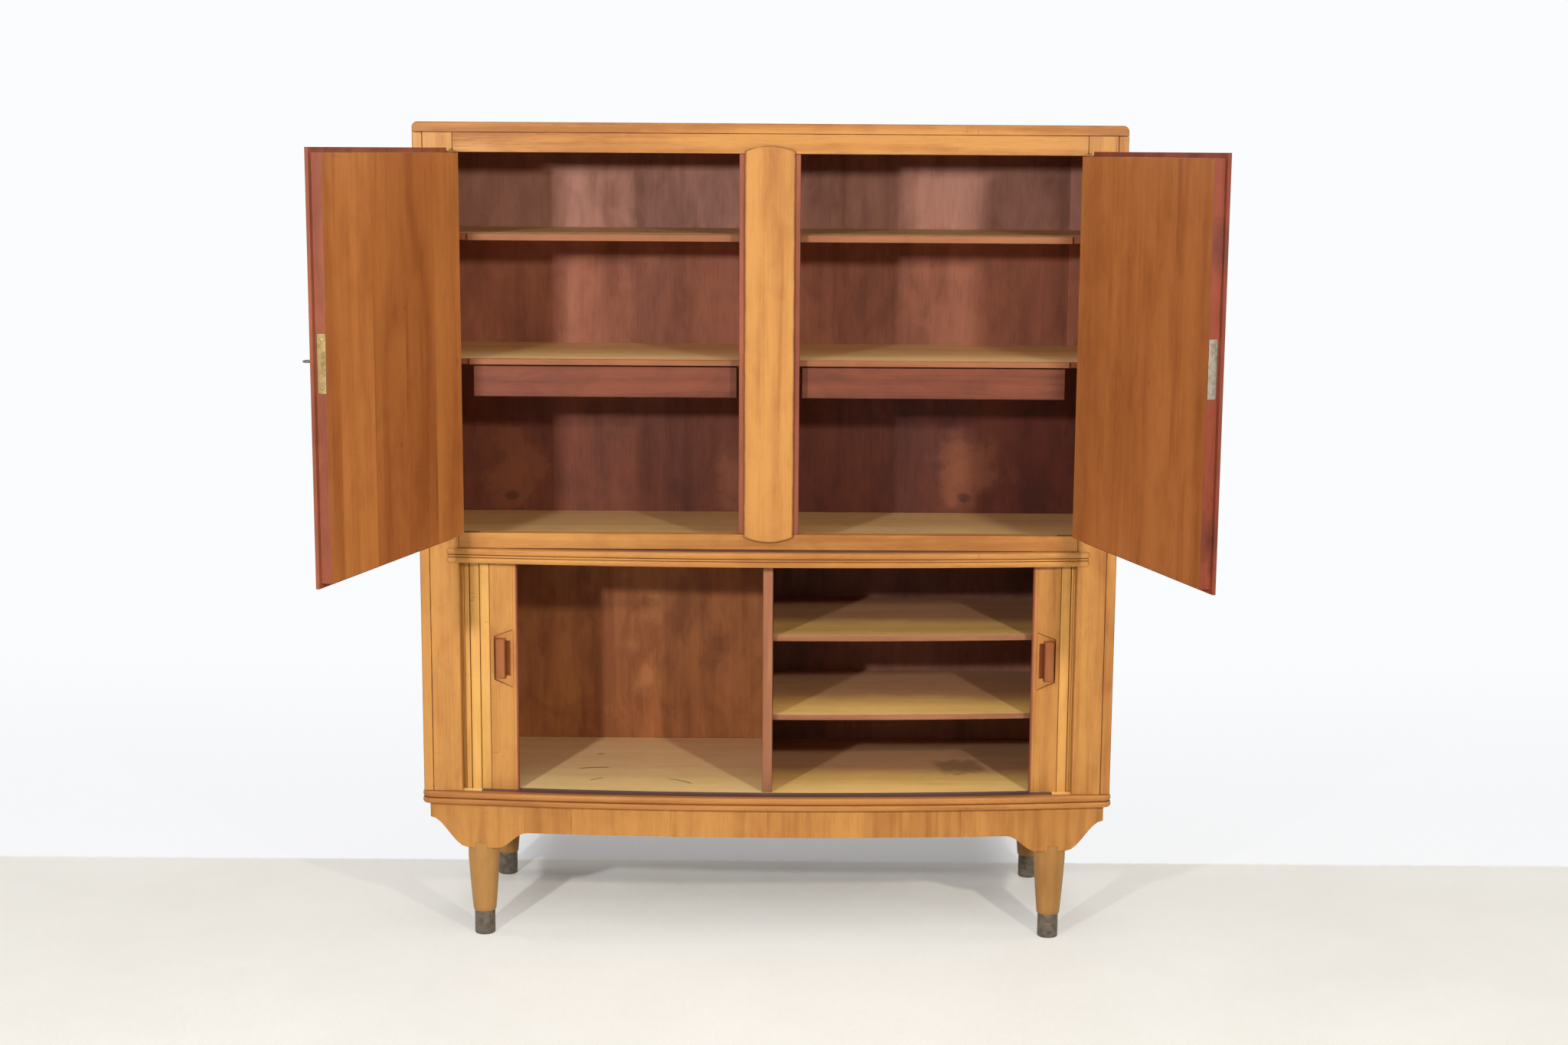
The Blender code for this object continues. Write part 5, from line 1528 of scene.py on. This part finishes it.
def buildLeader(side):
    start = leadArc(side)
    low, high, wide, face = tambour["low"], tambour["high"], tambour["leader"], tambour["face"]
    runs = leaderGrid["leadRuns"] + leaderGrid["carvedRuns"] + leaderGrid["farRuns"]
    reach = carving["sunkHalfLong"] + leaderGrid["margin"]
    under, over = carving["z"] - reach, carving["z"] + reach
    heights = [low, low + leaderGrid["rim"]]
    heights += ramp(leaderGrid["lowest"], under - leaderGrid["step"], leaderGrid["lowSteps"])
    heights += ramp(under, over, leaderGrid["carvedSteps"])
    heights += ramp(over + leaderGrid["step"], leaderGrid["highest"], leaderGrid["highSteps"])
    heights += [high - leaderGrid["rim"], high]
    shape = bmesh.new()

    def addSpot(run, height, proud):
        return shape.verts.new((*bowSpot(side, start + run, proud), height))

    # the carved face as a net of points
    edge = carving["edge"]
    net = []
    for height in heights:
        row = []
        for run in runs:
            rounding = max(0.0, edge - run) + max(0.0, run - (wide - edge))
            drop = carving["edgeDrop"] * rounding**2 / edge
            row.append(addSpot(run, height, face + leaderRelief(run, height) - drop))
        net.append(row)
    for k in range(len(heights) - 1):
        for i in range(len(runs) - 1):
            skin = shape.faces.new((net[k][i], net[k][i + 1], net[k + 1][i + 1], net[k + 1][i]))
            finishName = leaderFinish((runs[i] + runs[i + 1]) / 2, (heights[k] + heights[k + 1]) / 2)
            skin.material_index = leaderFinishes.index(finishName)
    # its rim is joined to a plain back
    corners = [(0, i) for i in range(len(runs))] + [(k, -1) for k in range(1, len(heights))]
    corners += [(-1, i) for i in range(len(runs) - 2, -1, -1)] + [(k, 0) for k in range(len(heights) - 2, 0, -1)]
    rim = [net[k][i] for k, i in corners]
    back = [addSpot(runs[i], heights[k], -face) for k, i in corners]
    joinRings(shape, [rim, back])
    shape.faces.new(back[::-1])
    bmesh.ops.recalc_face_normals(shape, faces=shape.faces)
    # the lead edge is red too
    leadX = abs(bowSpot(side, start, 0)[0])
    for skin in shape.faces:
        if skin.normal.x * side < -carving["redFacing"] and len(skin.verts) == 4:
            if abs(skin.calc_center_median().x) - leadX < carving["redReach"]:
                skin.material_index = leaderFinishes.index("lip")
    name, body = sideName(side, "shutter_leader"), sideName(side, "shutter")
    addPiece(name + "_carved", shape, body, leaderFinishes, (name,), smooth=38, even=False)


# A row of slats as one closed skin, with rounded fronts and seams between them
def slatRow(count, placeAt, low, high):
    slat, face, rim = tambour["slat"], tambour["face"], slatShape["rim"]
    half = [(run / 1000, depth / 1000) for run, depth in slatFront]
    front = []
    for i in range(count):
        # the first slat starts without a seam
        front += [(i * slat + run, face - depth) for run, depth in (half if i else half[1:])]
        front.append((i * slat + slat / 2, face + slatShape["crown"]))
        front += [(i * slat + slat - run, face - depth) for run, depth in half[:0:-1]]
    inset = slatShape["backInset"]
    back = [(run, -face) for run in ramp(count * slat - inset, inset, 2 * count)]
    outline = [placeAt(run, proud) for run, proud in front + back]
    shape = loft([[(x, y, z) for x, y in outline] for z in (low, low + rim, high - rim, high)])
    shape.verts.index_update()
    # the seams between slats are painted dark: partly dirt, partly painted shade
    seams = {k for k, (run, proud) in enumerate(front) if proud < face - slatShape["seamDeep"]}

    def slatIndex(skin):
        spots = {vert.index % len(outline) for vert in skin.verts}
        if min(spots) >= len(front):
            return slatFinishes.index("linen")
        return slatFinishes.index("seam" if spots & seams else "slat")

    for skin in shape.faces:
        if len(skin.verts) == 4:
            skin.material_index = slatIndex(skin)
    return shape


def buildSlats(side):
    start = leadArc(side) + tambour["leader"] + tambour["gap"]
    count = tambour["stiffSlats"][side]
    shape = slatRow(count, lambda run, proud: bowSpot(side, start + run, proud), tambour["low"], tambour["high"])
    name, body = sideName(side, "shutter_slats"), sideName(side, "shutter")
    addPiece(name + "_rounded", shape, body, slatFinishes, (name,), smooth=50, even=False)


# The curtain's front, drawn together behind the stile: each point lies where its share of the closing turn would carry
# it to its closed place
def buildCurtainFront(side):
    near, far = tambour["zoneNear"][side], tambour["zoneFar"]
    closing = tambour["closing"][side]
    middleRun = cabinet["runRadius"]
    first = tambour["meeting"] + tambour["leader"] + 2 * tambour["gap"]
    first += tambour["stiffSlats"][side] * tambour["slat"]
    last = middleRun * asin(far / middleRun)

    # halves the angle's range until the spot, moved by its share, would close where it should
    def drawnSpot(run, proud):
        reach = middleRun + proud
        closed = (first + run) / middleRun
        low, high = closed, closed + closing
        for _ in range(tambour["halvings"]):
            angle = (low + high) / 2
            share = smoothStep((far - reach * sin(angle)) / (far - near))
            if angle - share * closing < closed:
                low = angle
            else:
                high = angle
        return side * reach * sin(low), cabinet["bowCentreY"] - reach * cos(low)

    floorZ, ceilingZ, gap = cabinet["floorZ"], cabinet["ceilingZ"], tambour["gap"]
    shape = slatRow(int((last - first) / tambour["slat"]), drawnSpot, floorZ + gap, ceilingZ - gap)
    name, node = sideName(side, "shutter_curtain_front"), sideName(side, "shutter_curtain")
    piece = addPiece(name, shape, None, slatFinishes, (node,), smooth=50, even=False)
    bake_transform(piece)


# The part that has turned the corner and lies along the case side
def buildCurtainSide(side):
    turnRadius, leave = tambour["turnRadius"], tambour["turnLeft"]
    corner = cabinet["runRadius"] - turnRadius
    entry = asin((tambour["sideRunX"] - turnRadius) / corner)
    turnX = corner * sin(entry)
    turnY = cabinet["bowCentreY"] - corner * cos(entry)
    cornerRun = turnRadius * (pi / 2 - leave)

    def sideSpot(run, proud):
        if run < cornerRun:
            angle = leave + run / turnRadius
            reach = turnRadius + proud
            return side * (turnX + reach * sin(angle)), turnY - reach * cos(angle)
        return side * (tambour["sideRunX"] + proud), turnY + run - cornerRun

    room = cornerRun + tambour["trackEnd"] - turnY
    shape = slatRow(int(room / tambour["slat"]), sideSpot, tambour["low"], tambour["high"])
    name, node = sideName(side, "shutter_curtain_side"), sideName(side, "shutter_curtain")
    addPiece(name, shape, "carcass", slatFinishes, (node,), smooth=50, even=False)


for side in sides:
    buildLeader(side)
    buildSlats(side)
    buildCurtainFront(side)
    buildCurtainSide(side)
print("tambours done")

# Screws that hold the back panel
backScrews = {
    "radius": 0.0034,
    "head": 0.0006,
    "turn": 0.7,  # each slot stands further round than the last
    "inset": 0.014,
    "rows": 6,
    "columns": 5,
    "middleZ": 0.692,
}


def buildBackScrews():
    low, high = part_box("back_panel")
    shape = bmesh.new()
    inset = backScrews["inset"]
    spots = []
    for z in ramp(low.z + inset, high.z - inset, backScrews["rows"] - 1):
        spots += [(low.x + inset, z), (high.x - inset, z)]
    for x in ramp(low.x + inset, high.x - inset, backScrews["columns"] - 1)[1:-1]:
        spots += [(x, low.z + inset), (x, high.z - inset), (x, backScrews["middleZ"])]
    for k, (x, z) in enumerate(spots):
        addScrew(shape, (x, high.y, z), (0, 1, 0), backScrews["radius"], backScrews["turn"] * k, backScrews["head"])
    bmesh.ops.recalc_face_normals(shape, faces=shape.faces)
    addPiece("back_panel_screws", shape, "carcass", ["screw"], smooth=30, even=False)


buildBackScrews()
print("back screws done")

# Pale carpet that gives way to white behind the cabinet and ends softly there, and the world round it
stage = {
    "half": 6,
    "carpet": (0.88, 0.86, 0.80),
    "carpetWorn": (0.82, 0.79, 0.725),
    "carpetDeep": (0.74, 0.71, 0.64),
    "carpetSeen": (0.985, 0.965, 0.91),
    "carpetRough": 0.95,
    "pileNoise": (420, 3.0, 0.7),
    "pileSpan": (0.5, 0.9),
    "pile": (0.5, 0.002),
    "skirting": (0.486, 0.498),
    "raggedNoise": (45, 3.0, 0.6),
    "ragged": 0.016,
    "white": (0.93, 0.935, 0.94),
    "carpetGlow": 0.46,
    "whiteGlow": 0.86,
    "shadowKept": 0.92,
    "shadowAcross": (0.60, 0.40),
    "shadowDeep": (0.05, 0.35),
    "fade": (0.7, 2.4),
    "worldLight": 0.025,
    "worldTint": (1, 0.93, 0.84),
    "backdrop": (0.965, 0.972, 0.985),
}


# Rays that come straight from the camera, by reflection or through clear pieces
def directRays(tree):
    path = addNode(tree, "ShaderNodeLightPath").outputs
    direct = sums(tree, "MAXIMUM", path["Is Camera Ray"], path["Is Glossy Ray"])
    return sums(tree, "MAXIMUM", direct, path["Is Transmission Ray"])


def mixShaders(tree, amount, first, second):
    node = addNode(tree, "ShaderNodeMixShader")
    for socket, value in zip(node.inputs, (amount, first.outputs[0], second.outputs[0])):
        feed(tree, socket, value)
    return node


def buildFloor():
    half = stage["half"]
    corners = [(-half, -half, 0), (half, -half, 0), (half, half, 0), (-half, half, 0)]
    mesh = bpy.data.meshes.new("studio_floor")
    mesh.from_pydata(corners, [], [(0, 1, 2, 3)])
    floorPiece = bpy.data.objects.new("studio_floor", mesh)
    scene.collection.objects.link(floorPiece)
    finish, tree, shader, place = newFinish("paleCarpet")
    mesh.materials.append(finish)
    split = axes(tree, place)
    pile = cloud(tree, place, *stage["pileNoise"])
    worn = patches(tree, place, "carpet")
    colour = blendTones(tree, worn, opaque(stage["carpet"]), opaque(stage["carpetWorn"]))
    colour = blendTones(tree, between(tree, pile, *stage["pileSpan"]), colour, opaque(stage["carpetDeep"]))
    border = timesPlus(tree, cloud(tree, place, *stage["raggedNoise"]), stage["ragged"], split["Y"])
    behind = between(tree, border, *stage["skirting"])
    colour = blendTones(tree, behind, colour, opaque(stage["white"]))
    fill(tree, shader, {"Base Color": colour, "Roughness": stage["carpetRough"]})
    addRelief(tree, shader, pile, *stage["pile"])
    # seen by the camera and in reflections the floor is lifted towards the pale backdrop
    glow = addNode(tree, "ShaderNodeEmission")
    tint = blendTones(tree, behind, opaque(stage["carpetSeen"]), opaque(stage["backdrop"]))
    feed(tree, glow.inputs["Color"], tint)
    lift = timesPlus(tree, behind, stage["whiteGlow"] - stage["carpetGlow"], stage["carpetGlow"])
    # less lift under and behind the cabinet, so that its shadow stays
    under = between(tree, sums(tree, "ABSOLUTE", split["X"]), *stage["shadowAcross"])
    under = times(tree, under, between(tree, split["Y"], *stage["shadowDeep"]))
    lift = times(tree, lift, timesPlus(tree, under, -stage["shadowKept"], 1.0))
    lifted = mixShaders(tree, times(tree, lift, directRays(tree)), shader, glow)
    clear = addNode(tree, "ShaderNodeBsdfTransparent")
    faded = mixShaders(tree, between(tree, split["Y"], *stage["fade"]), lifted, clear)
    feed(tree, tree.nodes["Material Output"].inputs["Surface"], faded.outputs[0])


def buildWorld():
    world = bpy.data.worlds.new("softStudio")
    scene.world = world
    world.use_nodes = True
    tree = world.node_tree
    tree.nodes.clear()
    light, seen = [addNode(tree, "ShaderNodeBackground") for _ in range(2)]
    fill(tree, light, {"Color": opaque(stage["worldTint"]), "Strength": stage["worldLight"]})
    fill(tree, seen, {"Color": opaque(stage["backdrop"]), "Strength": 1.0})
    mixed = mixShaders(tree, directRays(tree), light, seen)
    feed(tree, addNode(tree, "ShaderNodeOutputWorld").inputs["Surface"], mixed.outputs[0])


# Soft lamps: name, place, aim, size, power and tint
white = (1.0, 1.0, 1.0)
lamps = [
    ("leftSoftbox", (-1.41, -2.90, 1.585), (0.0, 0.0, 0.8), 0.13, 66, (0.98, 0.98, 1.0)),
    ("rightSoftbox", (1.31, -2.45, 1.62), (0.0, 0.0, 0.8), 0.13, 41, (1.0, 0.96, 0.88)),
    ("ceilingSoft", (0.0, -1.1, 3.9), (0.0, -0.9, 0.0), 3.2, 60, white),
    ("leftSide", (-4.2, 0.6, 1.9), (-0.6, 0.2, 0.7), 1.8, 34, white),
    ("rightSide", (4.2, 0.6, 1.9), (0.6, 0.2, 0.7), 1.8, 34, white),
    ("rearSoft", (0.0, 3.8, 2.4), (0.0, 0.4, 0.8), 2.4, 44, white),
]


def buildLamps():
    for name, place, aim, size, power, tint in lamps:
        data = bpy.data.lights.new(name, "AREA")
        data.shape = "DISK"
        data.size = size
        data.energy = power
        data.color = tint
        lamp = bpy.data.objects.new(name, data)
        lamp.location = place
        lamp.rotation_euler = (Vector(aim) - Vector(place)).to_track_quat("-Z", "Y").to_euler()
        scene.collection.objects.link(lamp)


# The photograph's viewpoint
viewpoint = {
    "place": (0.0268, -3.8254, 1.3788),
    "pitch": 9.301,
    "roll": 0.372,
    "lens": 52.414,
    "sensor": 36.0,
    "farthest": 60,
}


def buildCamera():
    data = bpy.data.cameras.new("viewpoint")
    data.sensor_fit = "HORIZONTAL"
    data.sensor_width = viewpoint["sensor"]
    data.lens = viewpoint["lens"]
    data.clip_end = viewpoint["farthest"]
    camera = bpy.data.objects.new("viewpoint", data)
    pitch = Matrix.Rotation(radians(90 - viewpoint["pitch"]), 4, "X")
    roll = Matrix.Rotation(radians(viewpoint["roll"]), 4, "Z")
    camera.matrix_world = Matrix.Translation(viewpoint["place"]) @ pitch @ roll
    scene.collection.objects.link(camera)
    scene.camera = camera


buildFloor()
buildWorld()
buildLamps()
buildCamera()
scene.view_settings.view_transform = "Standard"
print("stage done")
